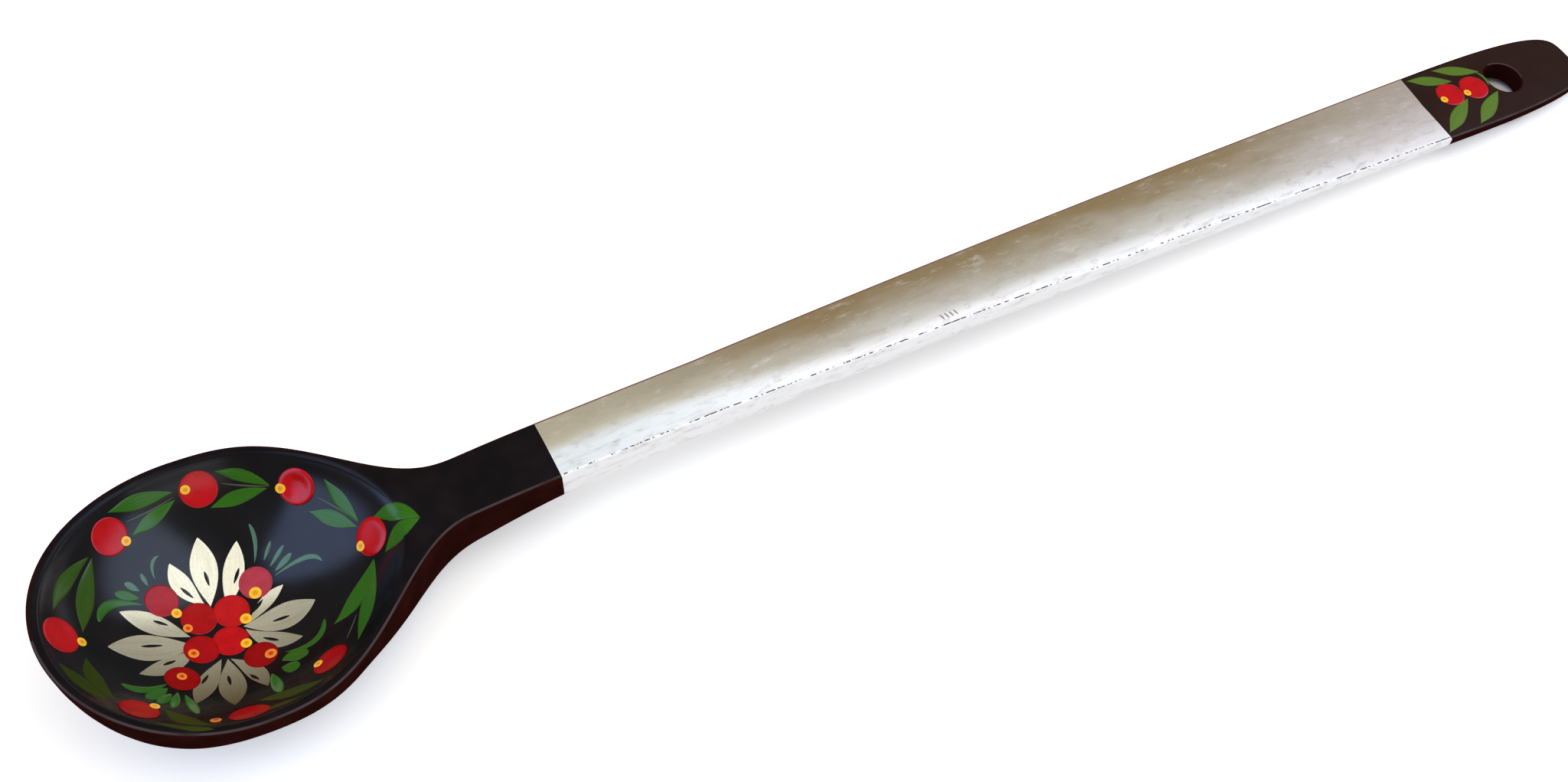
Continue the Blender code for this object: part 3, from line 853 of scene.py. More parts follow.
# %% Edge lines of the coat, and where each point lies on it
# The +Y edge strips take the red-brown edge finish; the -Y edge strip takes the line painted white
# as a highlight.
for rings in zip(outer, outer[1:]):
    for i, finish in ((flat_cells, 1), (flat_cells + 1, 1), (ring_cells - 1, 2)):
        j = (i + 1) % ring_cells
        shared = set(rings[0][i].link_faces) & set(rings[0][j].link_faces)
        face = next(f for f in shared if rings[1][i] in f.verts)
        face.material_index = finish
sleeve.weld()
coat = sleeve.finish("handle_powder_coat", coat_finishes)
notes = coat.data.attributes.new("sleeve", "FLOAT_VECTOR", "POINT")
for vertex, note in zip(coat.data.vertices, notes.data):
    x, y, _ = vertex.co
    note.vector = ((x - COAT_START) / (COAT_END - COAT_START), y / half_width(x), 0)
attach(coat, "root")
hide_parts("handle_metal_coat")
print("faces of the coat:", len(coat.data.polygons))

# %% [markdown]
# ## Brush strokes
# Each petal, leaf and berry is one or two strokes of a loaded brush. A stroke is modelled as what
# it is, a thin bead of paint: a grid of points that follows a path over the wood, highest along
# its middle and running out to nothing at its edges. Its width is measured along the surface, so
# that a leaf on the steep wall is as broad as one on the floor of the hollow. Every point also
# keeps how far along and across the stroke it lies, which the paint uses for its streaks.

# %% Laying points on the wood
SLOPE_STEP = 0.0002


def slopes(x, y):
    """How steeply the upper face rises along X and along Y."""
    rise_x = top_height(x + SLOPE_STEP, y) - top_height(x - SLOPE_STEP, y)
    rise_y = top_height(x, y + SLOPE_STEP) - top_height(x, y - SLOPE_STEP)
    return rise_x / (2 * SLOPE_STEP), rise_y / (2 * SLOPE_STEP)


def on_wood(x, y, lift):
    """A point lifted off the upper face along its normal."""
    slope_x, slope_y = slopes(x, y)
    normal = Vector((-slope_x, -slope_y, 1)).normalized()
    return Vector((x, y, top_height(x, y))) + normal * lift


def along_wood(middle, heading):
    """Two unit steps on the surface, one in a heading and one to its left, seen from above."""
    slope_x, slope_y = slopes(*middle)
    normal = Vector((-slope_x, -slope_y, 1)).normalized()
    ahead = Vector((*heading, slope_x * heading[0] + slope_y * heading[1])).normalized()
    return ahead.xy, normal.cross(ahead).xy


print("slope high on the hollow's wall:", round(slopes(0, HOLLOW_HALF * 0.8)[1], 2))

# %% Paths and outlines of strokes
def smooth_path(points):
    """A path from s = 0 to s = 1 through two or three points, in metres."""
    points = [Vector(point) * MM for point in points]
    if len(points) == 2:
        return lambda s: points[0].lerp(points[1], s)
    start, middle, end = points
    return lambda s: (start * (1 - s) * (1 - 2 * s) + middle * 4 * s * (1 - s)
                      + end * s * (2 * s - 1))


def bent(tip, root, bend):
    """A path from tip to root whose middle swings to the left by a few millimetres."""
    along = Vector(root) - Vector(tip)
    side = Vector((-along.y, along.x)).normalized() * bend
    return tip, (Vector(tip) + Vector(root)) / 2 + side, root


def leaf_shape(fullest=0.45, tip=1.25, root=1.0):
    """Half width along a stroke that is pointed at its tip (0) and at its root (1)."""
    def half(s):
        if s < fullest:
            return math.sin(math.pi / 2 * clamp(s / fullest)) ** tip
        return math.cos(math.pi / 2 * clamp((s - fullest) / (1 - fullest))) ** root
    return half


print("share of a leaf's full width half way along:", round(leaf_shape()(0.5), 2))

# %% Skinning a stroke
LANE_STEPS = (0.37, 0.61)
LANES = 7


def lane(spot):
    """A number from a stroke's place, so that neighbours don't share their streaks."""
    return (spot[0] * LANE_STEPS[0] + spot[1] * LANE_STEPS[1]) % LANES


def painted(name, rings, notes, material, nodes=()):
    """Skin a row of equal rings of points, close both ends, and keep the notes on each point."""
    skin = Lattice()
    rows = [skin.row(ring) for ring in rings]
    for near, far in zip(rows, rows[1:]):
        skin.join(near, far, 0, closed=True)
    skin.face(rows[0], 0)
    skin.face(rows[-1], 0)
    obj = skin.finish(name, [material])
    kept = obj.data.attributes.new("stroke", "FLOAT_VECTOR", "POINT")
    kept.data.foreach_set("vector", [value for ring in notes for note in ring for value in note])
    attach(obj, "root")
    for node in nodes:
        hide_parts(node)
    return obj


print("lane of a stroke that starts at (10, 5):", round(lane((10, 5)), 2))

# %% A brush stroke
STROKE_RISE = 0.00007
PAINT_ROOT = 0.0001
ROOT_SHARE = 0.96
TRIM = 0.02
AHEAD = 0.01


def stroke(name, points, width, material, nodes=(), shape=None, layer=0, cells=(26, 10)):
    """One brush stroke along a path; the path, the width and the layer are in millimetres."""
    path = smooth_path(points)
    shape = shape or leaf_shape()
    long_cells, cross_cells = cells
    shares = [math.sin(math.pi / 2 * t) for t in spread(-1, 1, cross_cells + 1)]
    rings = []
    notes = []
    for turn in spread(TRIM, 1 - TRIM, long_cells + 1):
        s = 0.5 - 0.5 * math.cos(math.pi * turn)
        here = path(s)
        _, left = along_wood(here, path(s + AHEAD) - path(s - AHEAD))
        half = width / 2 * MM * shape(s)
        ring = []
        for t in shares:
            rise = STROKE_RISE * (1 - t ** 4) * min(half * 2 / MM, 1.0)
            ring.append(on_wood(*(here + left * half * t), layer * MM + rise))
        for t in reversed(shares):
            ring.append(on_wood(*(here + left * half * t * ROOT_SHARE), -PAINT_ROOT))
        rings.append(ring)
        notes.append([(s, t, lane(points[0])) for t in shares + shares[::-1]])
    return painted(name, rings, notes, material, nodes)


print("height of a stroke in mm:", round(STROKE_RISE / MM, 2))

# %% A round dab
# Each profile: share of the radius, and share of the height; -1 is below the surface.
BURIED = ((0.04, -1), (0.9, -1), (1.0, 0))
DAB = BURIED + ((0.985, 0.5), (0.95, 0.85), (0.88, 0.97), (0.7, 1.0), (0.4, 1.0), (0.03, 1.0))
DOME = BURIED + ((0.98, 0.25), (0.93, 0.5), (0.85, 0.72), (0.73, 0.86), (0.58, 0.94), (0.4, 0.98),
                 (0.2, 1.0), (0.03, 1.0))
DIMPLED = BURIED + ((0.98, 0.4), (0.93, 0.75), (0.86, 0.95), (0.76, 1.0), (0.64, 0.92),
                    (0.52, 0.72), (0.42, 0.6), (0.3, 0.55), (0.15, 0.53), (0.03, 0.53))
DAB_HEIGHT = 0.08


def dab(name, middle, size, material, nodes=(), layer=0, thick=DAB_HEIGHT, profile=DAB, cells=40):
    """A round dab of paint; its middle, width, layer and thickness are in millimetres."""
    centre = Vector(middle) * MM
    ahead, left = along_wood(centre, (1, 0))
    turns = [2 * math.pi * i / cells for i in range(cells)]
    rings = []
    notes = []
    for share, rise in profile:
        lift = rise * PAINT_ROOT if rise < 0 else (layer + rise * thick) * MM
        note = [(share * math.cos(a), share * math.sin(a), lane(middle)) for a in turns]
        rings.append([on_wood(*(centre + (ahead * u + left * v) * size / 2 * MM), lift)
                      for u, v, _ in note])
        notes.append(note)
    return painted(name, rings, notes, material, nodes)


print("rings in a plain dab, a dome and a dimpled one:", len(DAB), len(DOME), len(DIMPLED))

# %% [markdown]
# ## Paints
# The pattern uses oil paints: reds for the berries, leaf greens, and a blue-green that is brushed
# out thin. The petals are a pale gold powder in varnish, the same stuff as on the handle. Real ones
# flash ivory where they mirror a window and stay bronze-brown where they don't; here that is
# painted in by place, ivory on the +Y side of the hollow as a painted reflection and bronze on the
# other as painted shade. Some reds and the olive green are darker as painted shade in the hollow,
# and one red is rose as a painted reflection. All of it lies under the last coat of varnish and
# shines about as much as the lacquer beside it.

# %% Patterns that follow a stroke
ALL_ROUND = (1, 1, 0)
ACROSS = (0, 1, 0)
BRISTLES = (1.6, 7.0, 3.0)
ROUND_BRISTLES = (1.5, 1.5, 3.0)
BRISTLE_HEIGHT = 0.00002


def stroke_place(material):
    """How far along and across its stroke a point lies."""
    return add(material, "Attribute", attribute_name="stroke").outputs["Vector"]


def streaks(material, scale):
    """Streaks left by the bristles of a brush."""
    return noise(material, scale, 3.0, 0.6, stroke_place(material))


def from_middle(material, axes):
    """Distance from the middle of a stroke or dab, along the chosen axes."""
    flat = add(material, "VectorMath", {0: stroke_place(material), 1: axes}, operation="MULTIPLY")
    return add(material, "VectorMath", {0: flat.outputs[0]}, operation="LENGTH").outputs["Value"]


print("height of a bristle mark in mm:", round(BRISTLE_HEIGHT / MM, 2))

# %% Recipes for the paints
STREAK_FADE = (0.4, 0.68)
EDGE_FADE = (0.7, 1.02)
PETAL_TILT = 0.12
SLOW_FADE = (-0.024, -0.001, 0.0, 0.42)
FAST_FADE = (0.0, 0.0075, 0.0, 0.58)
SPARKLE = 2600


def paint(name, colour, deep, streak=0.5, edge=0.5, rounded=False, roughness=0.16, gloss=0.5):
    """A varnished paint: streaked along the stroke, and showing its deep colour at the edges."""
    material, shader = new_finish(name, colour, roughness, gloss=gloss)
    bristles = streaks(material, ROUND_BRISTLES if rounded else BRISTLES)
    mixed = blend(material, ramp(material, bristles, *STREAK_FADE, 0.0, streak), colour, deep)
    far = from_middle(material, ALL_ROUND if rounded else ACROSS)
    mixed = blend(material, ramp(material, far, *EDGE_FADE, 0.0, edge), mixed, deep)
    link(material, mixed, shader.inputs["Base Color"])
    if not rounded:
        bump(material, shader, bristles, 0.3, BRISTLE_HEIGHT)
    return material


def gilded_with_painted_reflection(name, ivory, bronze, shade, roughness, metallic):
    """Metal powder: ivory on the hollow's +Y side as painted reflection, bronze as painted shade.
    """
    material, shader = new_finish(name, ivory, roughness, metallic)
    level = maths(material, "MULTIPLY_ADD", coordinate(material, "X"), PETAL_TILT,
                  coordinate(material, "Y"))
    slow = ramp(material, level, *SLOW_FADE, "LINEAR")
    fast = ramp(material, level, *FAST_FADE)
    mixed = blend(material, maths(material, "ADD", slow, fast), bronze, ivory)
    bristles = streaks(material, BRISTLES)
    sparkle = noise(material, SPARKLE, 2.0, 0.7)
    thin = maths(material, "MAXIMUM", ramp(material, bristles, 0.45, 0.75, 0.0, 0.5),
                 ramp(material, sparkle, 0.5, 0.65, 0.0, 0.4))
    darker = add(material, "VectorMath", {0: mixed, 1: shade}, operation="MULTIPLY").outputs[0]
    link(material, blend(material, thin, mixed, darker), shader.inputs["Base Color"])
    bump(material, shader, bristles, 0.3, BRISTLE_HEIGHT)
    return material


def dot_paint(name, ring, centre):
    """The paint of a small dot, pushed aside in its middle by the stick that made it."""
    material, shader = new_finish(name, ring, 0.2)
    aside = ramp(material, from_middle(material, ALL_ROUND), 0.3, 0.6)
    link(material, blend(material, aside, centre, ring), shader.inputs["Base Color"])
    return material


petal_powder = gilded_with_painted_reflection("petal_powder", (0.98, 0.97, 0.76), (0.100, 0.072, 0.024),
                      (0.60, 0.56, 0.42), 0.36, 0.12)
dot_yellow = dot_paint("dot_yellow", (0.95, 0.56, 0.03), (0.85, 0.30, 0.01))
dot_orange = dot_paint("dot_orange", (0.85, 0.28, 0.03), (0.65, 0.04, 0.01))
slit_black = paint("slit_black", (0.006, 0.005, 0.004), (0.012, 0.009, 0.006), 0.3, 0.2)
print("paints of the petals and dots:", sum(1 for m in bpy.data.materials if m.users == 0))

# %% Reds and greens
def berry_paint(name, colour, deep, edge=0.35, gloss=0.5):
    """A red for the round berries."""
    return paint(name, colour, deep, 0.35, edge, rounded=True, gloss=gloss)


# The deeper and darker reds, and the shaded one, are painted shade on berries in the hollow; the
# rose red is a painted reflection of a window.
berry_red = berry_paint("berry_red", (0.55, 0.003, 0.006), (0.28, 0.001, 0.005))
berry_red_painted_reflection = berry_paint("berry_red_painted_reflection", (0.46, 0.040, 0.070), (0.30, 0.020, 0.035), 0.30)
berry_red_painted_shade = berry_paint("berry_red_painted_shade", (0.41, 0.004, 0.006), (0.22, 0.001, 0.004), gloss=0.3)
berry_red_painted_deep_shade = berry_paint("berry_red_painted_deep_shade", (0.32, 0.004, 0.004), (0.17, 0.001, 0.002), gloss=0.2)
berry_shaded = berry_paint("berry_shaded", (0.40, 0.004, 0.006), (0.20, 0.001, 0.004), gloss=0.05)
leaf_green = paint("leaf_green", (0.030, 0.150, 0.006), (0.022, 0.034, 0.006), 0.35, 0.45)
leaf_moss = paint("leaf_moss", (0.034, 0.095, 0.006), (0.020, 0.030, 0.005), 0.35, 0.45)
leaf_lime = paint("leaf_lime", (0.105, 0.200, 0.022), (0.060, 0.090, 0.010), 0.4, 0.5,
                  roughness=0.4, gloss=0.12)
# The olive green is painted shade for the leaves on the near (-Y) side of the hollow.
leaf_olive_painted_shade = paint("leaf_olive_painted_shade", (0.036, 0.056, 0.006), (0.018, 0.020, 0.004), 0.4, 0.45,
                   roughness=0.3, gloss=0.03)
stem_grey = paint("stem_grey", (0.075, 0.085, 0.050), (0.03, 0.035, 0.02), 0.4, 0.3)
sprig_green = paint("sprig_green", (0.030, 0.140, 0.012), (0.014, 0.05, 0.009), 0.5, 0.4)
sprig_teal = paint("sprig_teal", (0.085, 0.200, 0.125), (0.02, 0.06, 0.045), 0.6, 0.4)
print("all paints:", sum(1 for m in bpy.data.materials if m.users == 0))

# %% [markdown]
# ## The garland
# Pairs of leaves hang from thin stems between the berries and follow the rim round. The stems and
# leaves are painted before the berries, which overlap their ends. The leaves on the near side get a
# darker olive paint, as painted shade.

# %% Garland leaves and stems
# Each leaf: its tip and root in millimetres, its width, and how far its middle bends.
LEAF_PAIRS = (
    (leaf_green, ((7.7, 30.0), (17.7, 23.4), 3.1, 0.7), ((3.8, 24.9), (17.0, 23.3), 3.5, 0.5)),
    (leaf_green, ((-15.9, 27.5), (-2.0, 29.3), 3.7, 0.6), ((-13.4, 23.4), (-2.2, 28.1), 3.3, 0.2)),
    (leaf_moss, ((-32.1, 7.7), (-22.6, 19.8), 3.6, 1.1), ((-28.8, 3.0), (-22.1, 19.7), 4.4, 0.6)),
    (leaf_olive_painted_shade, ((-34.0, -5.5), (-27.8, -16.7), 4.4, -0.2),
     ((-29.6, -3.1), (-26.7, -15.9), 4.4, -1.0)),
    (leaf_olive_painted_shade, ((-21.5, -24.7), (-10.8, -31.6), 2.8, -0.4),
     ((-19.1, -19.5), (-10.7, -30.0), 4.8, -0.9)),
    (leaf_olive_painted_shade, ((8.1, -30.2), (-5.0, -28.4), 2.8, 0.0), ((12.7, -27.9), (-1.7, -24.0), 4.6, 0.2)),
    (leaf_green, ((21.7, -22.0), (31.9, -4.4), 4.7, -0.1),
     ((18.4, -12.2), (31.9, -3.9), 5.2, -1.3)),
    (leaf_green, ((28.9, 18.1), (32.1, 6.0), 3.5, 0.0), ((23.1, 15.1), (31.4, 5.2), 3.8, 0.3)),
)
NECK_LEAVES = (((35.0, 4.3), (44.2, -3.2), 4.3, 0.8), ((34.4, -5.0), (44.0, -3.3), 4.6, 0.6))
for i, (green, *pair) in enumerate(LEAF_PAIRS, 1):
    for side, (tip, root, width, bend) in zip(("outer", "inner"), pair):
        node = f"garland_leaf_{i}_{side}"
        piece = stroke(node + "_paint", bent(tip, root, bend), width, green, [node])
for i, (tip, root, width, bend) in enumerate(NECK_LEAVES, 1):
    piece = stroke(f"neck_leaf_{i}_paint", bent(tip, root, bend), width, leaf_green)
LINE = leaf_shape(0.5, 0.5, 0.5)
STEMS = (
    ((8.0, 28.0), (17.7, 23.3)), ((-13.4, 25.9), (-2.2, 28.6)), ((19.8, -18.6), (23.9, -13.7)),
    ((25.8, 16.5), (29.4, 11.0), (32.0, 5.9)),
)
for i, points in enumerate(STEMS, 1):
    piece = stroke(f"garland_stem_{i}", points, 0.5, stem_grey, shape=LINE, cells=(16, 4))
print("pairs of leaves and stems:", len(LEAF_PAIRS), len(STEMS))

# %% [markdown]
# ## The bouquet
# In the middle of the hollow four groups of three petals stand round a cluster of berries, with
# loose strokes between them. Each petal is one pressed stroke, and a black slit shows where the
# brush was split.

# %% The loose strokes round the bouquet
SOLID_SPRIGS = 4
SPRIGS = (
    (((21.6, 4.2), (18.4, 7.2), (10.7, 7.1)), 1.3, sprig_teal),
    (((-25.4, 5.9), (-22.3, 9.9), (-16.5, 9.4)), 2.4, sprig_green),
    (((17.2, -9.1), (13.6, -13.3), (6.9, -12.2)), 1.8, sprig_green),
    (((-25.2, -10.5), (-21.9, -12.7), (-17.4, -11.6)), 2.2, sprig_green),
    (((10.2, 19.4), (10.0, 15.9), (8.0, 11.7)), 1.0, sprig_teal),
    (((13.1, 14.3), (10, 11.2)), 0.9, sprig_teal),
    (((15.3, 12.2), (10.7, 9.4)), 1.1, sprig_teal),
    (((16.2, 9.8), (11.4, 8.0)), 1.6, sprig_teal),
    (((-10.0, 19.1), (-11.9, 17.6), (-12.5, 14.4)), 0.9, sprig_teal),
    (((-14.7, 16.1), (-14.3, 13.3)), 1.2, sprig_teal),
    (((-18.3, 14.5), (-16.2, 12.5)), 1.8, sprig_teal),
    (((-20.8, 12.4), (-16.7, 10.9)), 2.5, sprig_green),
    (((11.2, -15.9), (8.6, -14.4), (5.6, -14.3)), 4.0, sprig_green),
    (((8.6, -18.4), (5.1, -16.2)), 3.6, sprig_green),
    (((3.2, -24.2), (2.7, -16.8)), 2.7, sprig_green),
    (((-21.7, -15.5), (-17.6, -13.0)), 3.1, sprig_green),
    (((-19.9, -17.4), (-17.2, -14.8)), 2.5, sprig_green),
    (((-17.6, -19.7), (-16.0, -14.7)), 2.1, sprig_green),
    (((-13.4, -23.2), (-14.8, -15.8)), 2.3, sprig_green),
)
for i, (points, width, green) in enumerate(SPRIGS, 1):
    nodes = [f"sprig_stroke_{i}"] if i <= SOLID_SPRIGS else []
    piece = stroke(f"sprig_{i:02d}", points, width, green, nodes, leaf_shape(0.4, 0.5, 0.8),
                   cells=(18, 6))
print("loose strokes:", len(SPRIGS))

# %% Petals
PETALS = (
    ((6.3, 17.4), (-1.2, 4.3), 4.6, 0.1),
    ((-1.1, 20.7), (-4.1, 6.0), 5.9, 0.0),
    ((-8.6, 17.2), (-5.0, 6.6), 4.4, -1.0),
    ((11.6, -10.3), (0.9, -1.9), 4.2, 1.5),
    ((17.0, -3.1), (0.7, -1.1), 6.6, 0.8),
    ((11.9, 4.3), (2.0, -1.0), 2.9, -0.6),
    ((-13.3, -19.3), (-5.9, -7.7), 4.6, 0.4),
    ((-6.2, -23.0), (-4.7, -8.1), 5.8, 0.0),
    ((1.2, -20.2), (-4.2, -8.3), 4.0, -1.1),
    ((-21.3, 8.2), (-10.2, 0.0), 5.0, 0.2),
    ((-25.5, -0.2), (-9.8, -2.4), 6.9, 0.0),
    ((-21.7, -7.9), (-10.0, -3.1), 4.2, -0.9),
)
PETAL_SHAPE = (0.42, 0.85, 1.05)
for i, (tip, root, width, bend) in enumerate(PETALS, 1):
    node = f"petal_{i:02d}"
    piece = stroke(node + "_paint", bent(tip, root, bend), width, petal_powder, [node],
                   leaf_shape(*PETAL_SHAPE), layer=0.02, cells=(30, 12))
SLITS = (
    ((-8.7, 12.3), (-6.5, 8.4)), ((-2.5, 14.5), (-2.8, 10)), ((4.9, 12.5), (1.9, 8.8)),
    ((11.4, -3.6), (6.1, -2.8)), ((6.9, 3.4), (3.4, 1.1)), ((7.1, -8.8), (3.2, -5.5)),
    ((-16.4, 5.7), (-13.2, 3.6)), ((-20.6, -0.5), (-15.2, -1)), ((-17.5, -6.3), (-14.1, -5.3)),
    ((-11.5, -13.8), (-9.2, -10.9)), ((-5.8, -12.4), (-5.9, -16.6)), ((-1.7, -14.4), (0.1, -17.5)),
)
for i, points in enumerate(SLITS, 1):
    piece = stroke(f"petal_slit_{i:02d}", points, 0.9, slit_black, layer=0.07, cells=(14, 4))
print("petals and slits:", len(PETALS), len(SLITS))

# %% [markdown]
# ## Berries
# A berry is a round dab laid on with a flat brush, and its dot is pressed on with the end of a
# stick. Two of the garland's berries carry more paint: one has dried with a dimple in it, the
# other stands up as a dome. Each berry lies a little higher than the one before, so that the films
# of two neighbours never share a face.

# %% Berries with their dots
# Each row: node, middle and width, then the dot's middle, width and paint, in millimetres.
BERRIES = (
    ("garland_berry_1", (3.2, 28.3), 8.5, (0.6, 29.1), 2.2, dot_yellow),
    ("garland_berry_2", (22.8, 20.2), 8.7, (19.6, 21.9), 2.4, dot_yellow),
    ("garland_berry_3", (33.3, 0.8), 9.0, (30.7, 0.7), 2.5, dot_yellow),
    ("garland_berry_4", (15.1, -22.0), 8.5, (12.4, -21.0), 2.2, dot_yellow),
    ("garland_berry_5", (-3.8, -28.2), 8.5, (-10.4, -27.6), 2.4, dot_orange),
    ("garland_berry_6", (-23.2, -19.6), 8.5, (-20.6, -18.6), 2.2, dot_yellow),
    ("garland_berry_7", (-32.3, 1.8), 8.8, (-29.5, 0.7), 2.2, dot_yellow),
    ("garland_berry_8", (-17.4, 23.4), 8.5, (-14.8, 22.6), 2.2, dot_yellow),
    ("bouquet_berry_5", (-12.9, 9.6), 7.5, (-11.1, 6.3), 2.3, dot_yellow),
    ("bouquet_berry_6", (6.6, 7.5), 7.5, (5.7, 5.4), 2.8, dot_yellow),
    ("bouquet_berry_7", (2.0, -10.3), 7.5, (4.0, -11.0), 2.7, dot_orange),
    ("bouquet_berry_8", (-14.4, -10.9), 7.6, (-14.4, -10.2), 2.2, dot_orange),
    ("bouquet_berry_1", (-7.3, 3.8), 7.9, (-10.1, 2.2), 2.1, dot_orange),
    ("bouquet_berry_2", (-0.4, 3.3), 7.9, (1.8, 0.4), 2.6, dot_yellow),
    ("bouquet_berry_3", (-2.8, -3.8), 7.9, (0.0, -5.7), 2.5, dot_yellow),
    ("bouquet_berry_4", (-9.0, -4.0), 7.7, (-10.8, -4.5), 2.4, dot_orange),
    ("tip_berry_1", (342, 0.5), 8.0, (339, -0.5), 2.1, dot_yellow),
    ("tip_berry_2", (350.1, 0.0), 8.2, (346.9, -1.0), 2.1, dot_yellow),
)
# Berries given a painted-shade red, or the rose red of a painted reflection; the rest are
# berry_red.
REDS = {
    "garland_berry_4": berry_shaded, "garland_berry_5": berry_shaded,
    "garland_berry_6": berry_shaded, "bouquet_berry_1": berry_red_painted_shade, "bouquet_berry_4": berry_red_painted_shade,
    "bouquet_berry_5": berry_red_painted_shade, "bouquet_berry_6": berry_red_painted_reflection, "bouquet_berry_7": berry_red_painted_deep_shade,
    "bouquet_berry_8": berry_red_painted_deep_shade,
}
FIRST_LAYER = 0.04
LAYER_STEP = 0.01
LAYERS = 8
DOT_SEAT = 0.8
RAISED = {"garland_berry_2": (0.35, DIMPLED), "garland_berry_3": (0.5, DOME)}
for i, (node, middle, size, dot, dot_size, dot_colour) in enumerate(BERRIES):
    layer = FIRST_LAYER + LAYER_STEP * (i % LAYERS)
    thick, profile = RAISED.get(node, (DAB_HEIGHT, DAB))
    red = REDS.get(node, berry_red)
    piece = dab(node + "_paint", middle, size, red, [node], layer, thick, profile)
    piece = dab(node + "_dot", dot, dot_size, dot_colour, layer=layer + thick * DOT_SEAT, cells=24)
print("berries:", len(BERRIES))

# %% The sprig on the handle's end
TIP_LEAVES = (
    ((334.6, 10), (345.9, 4.3)), ((344, 10.5), (355.8, 4.3)),
    ((333.4, -10.1), (345.7, -2.6)), ((344, -10.8), (355.9, -3.6)),
)
for i, points in enumerate(TIP_LEAVES, 1):
    piece = stroke(f"tip_leaf_{i}_paint", points, 4.2, leaf_lime, [f"tip_leaf_{i}"])
piece = stroke("tip_stem", ((354.7, 4.5), (355.5, 2), (354.8, -1)), 0.7, leaf_lime,
               shape=LINE, cells=(16, 4))

# %% A few scratches across the coat
SCRATCHES = 4
SCRATCH_FROM = 175.3
SCRATCH_STEP = 1.25
scratch_grey = paint("scratch_grey", (0.17, 0.17, 0.16), (0.30, 0.30, 0.28), roughness=0.5,
                     gloss=0.1)
for i in range(SCRATCHES):
    x = SCRATCH_FROM + SCRATCH_STEP * i
    piece = stroke(f"coat_scratch_{i + 1}", ((x, -6.0), (x + 0.7, -7.6)), 0.35, scratch_grey,
                   shape=leaf_shape(0.5, 0.6, 0.6), layer=0.06, cells=(10, 4))
print("scratches:", SCRATCHES)

# %% [markdown]
# ## The camera
# The camera stands where the photograph was taken from: 37 cm up, in front of the bowl, and turned
# so that the spoon runs across the picture. Its three axes come from a fit to the outline.

# %% Camera
PHOTO_WIDTH = 2048
FOCAL_PIXELS = 2330
SENSOR = 36.0
camera_data = bpy.data.cameras.new("camera")
camera_data.sensor_width = SENSOR
camera_data.lens = FOCAL_PIXELS / PHOTO_WIDTH * SENSOR
camera = put("camera", camera_data)
CAMERA_AT = (0.01785, -0.20305, 0.3688)
right = Vector((0.88409, -0.46645, 0.0286))
down = Vector((-0.37829, -0.75023, -0.54227))
ahead = Vector((0.27439, 0.46859, -0.83972))
turn = Matrix((right, -down, -ahead)).transposed().to_4x4()
camera.matrix_world = Matrix.Translation(CAMERA_AT) @ turn
bpy.context.scene.camera = camera
print("lens in mm:", round(camera_data.lens, 1))

# %% [markdown]
# ## Light and floor
# Gloss shows what stands round an object as much as the object itself. Here two tall windows
# stand left and right of the spoon in a darker room, with a low band of light in front of it. They
# are written as directions in the world's shader. A wide soft lamp overhead gives the matt light,
# and stays out of the reflections.

# %% The room round the spoon
ROOM_LIGHT = (0.15, 0.14, 0.14)
# Each row: middle, half width, lower and upper edge in degrees, and the light.
WINDOWS = (
    (180, 32, 18, 72, (0.95, 1.25, 2.1)),
    (-21, 35, 20, 71, (1.25, 1.5, 2.1)),
    (-82, 26, 12, 27, (0.8, 0.8, 0.85)),
)
SOFT = 0.09
world = bpy.data.worlds.new("room")
world.use_nodes = True
bpy.context.scene.world = world


def window(middle, half, low, high):
    """1 in the directions of a window and 0 elsewhere, with soft borders; all in degrees."""
    half, low, high = math.radians(half), math.radians(low), math.radians(high)
    turned = maths(world, "ADD", azimuth, -math.radians(middle))
    away = maths(world, "ABSOLUTE", maths(world, "WRAP", turned, math.pi, -math.pi))
    inside = ramp(world, away, half - SOFT, half + SOFT, 1.0, 0.0)
    above = ramp(world, elevation, low - SOFT, low + SOFT)
    below = ramp(world, elevation, high - SOFT, high + SOFT, 1.0, 0.0)
    return maths(world, "MULTIPLY", inside, maths(world, "MULTIPLY", above, below))


direction = add(world, "TexCoord").outputs["Generated"]
axes = add(world, "SeparateXYZ", {"Vector": direction}).outputs
azimuth = maths(world, "ARCTAN2", axes["Y"], axes["X"])
elevation = maths(world, "ARCSINE", axes["Z"])
seen = ROOM_LIGHT
for *angles, light in WINDOWS:
    seen = blend(world, window(*angles), seen, light)
link(world, seen, world.node_tree.nodes["Background"].inputs["Color"])
print("windows and bands of light:", len(WINDOWS))

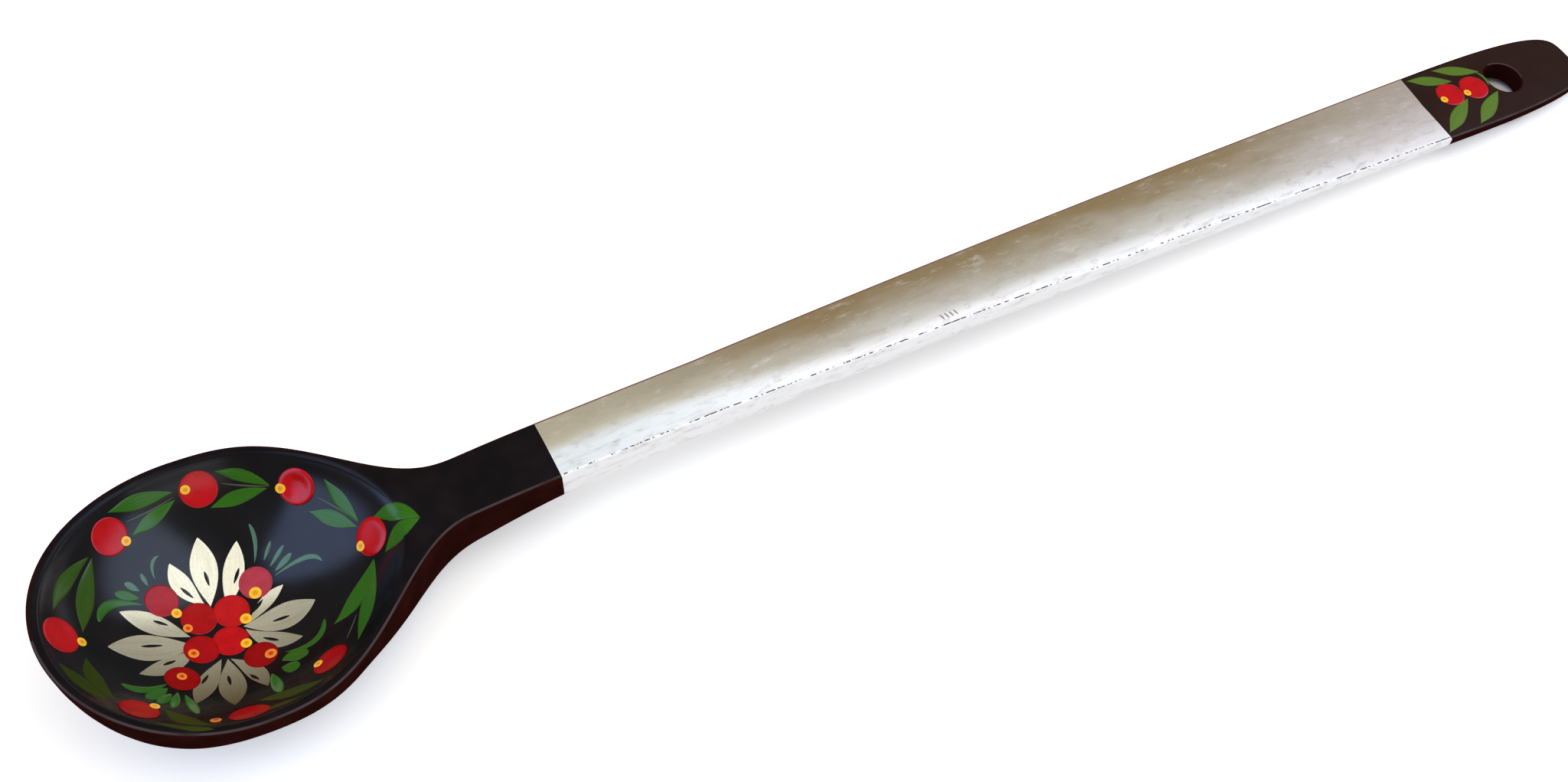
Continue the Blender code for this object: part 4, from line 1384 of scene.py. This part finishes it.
# %% The lamp overhead
FILL_SIZE = 1.6
FILL_PLACE = (0.15, -0.05, 1.2)
FILL_POWER = 14.0
FILL_COLOUR = (1.0, 0.88, 0.60)
fill_data = bpy.data.lights.new("overhead", "AREA")
fill_data.shape = "SQUARE"
fill_data.size = FILL_SIZE
fill_data.energy = FILL_POWER
fill_data.color = FILL_COLOUR
fill = put("overhead", fill_data)
fill.location = FILL_PLACE
fill.visible_glossy = False
print("lamp's width in m:", FILL_SIZE)

# %% [markdown]
# ## A floor that glows a little
# The spoon lies on a plain pale sheet. It glows a little for the eye and in reflections, but sheds
# no light of its own on the wood. The glow is left out round the hanging hole, so that the hole
# looks as dark as a real one in its own shade.

# %% A pale floor
FLOOR_HALF = 12.0
FLOOR_DROP = 0.0002
FLOOR_GLOW = 0.40
UNLIT_RADIUS = 0.007
LIT_RADIUS = 0.011
floor_paint, shader = new_finish("pale_floor", (0.86, 0.86, 0.86), 0.8, gloss=0.2)
where = add(floor_paint, "TexCoord").outputs["Object"]
away = add(floor_paint, "VectorMath", {0: where, 1: (HOLE_AT, 0, -FLOOR_DROP)},
           operation="DISTANCE").outputs["Value"]
level = ramp(floor_paint, away, UNLIT_RADIUS, LIT_RADIUS, 0.0, FLOOR_GLOW)
rays = add(floor_paint, "LightPath").outputs
seen = maths(floor_paint, "MAXIMUM", rays["Is Camera Ray"], rays["Is Glossy Ray"])
glow = add(floor_paint, "Emission", {"Color": (1, 1, 1, 1),
                                     "Strength": maths(floor_paint, "MULTIPLY", level, seen)})
total = add(floor_paint, "AddShader", {0: shader.outputs[0], 1: glow.outputs[0]})
link(floor_paint, total.outputs[0],
     floor_paint.node_tree.nodes["Material Output"].inputs["Surface"])
floor_mesh = bpy.data.meshes.new("floor")
corners = [(x * FLOOR_HALF, y * FLOOR_HALF, -FLOOR_DROP)
           for x, y in ((-1, -1), (1, -1), (1, 1), (-1, 1))]
floor_mesh.from_pydata(corners, [], [(0, 1, 2, 3)])
floor_mesh.materials.append(floor_paint)
floor = put("floor", floor_mesh)
print("floor's width in m:", 2 * FLOOR_HALF)

# %% [markdown]
# ## The view transform
# Last, the render shows its colours through the standard view transform.

# %% The view transform
bpy.context.scene.view_settings.view_transform = "Standard"
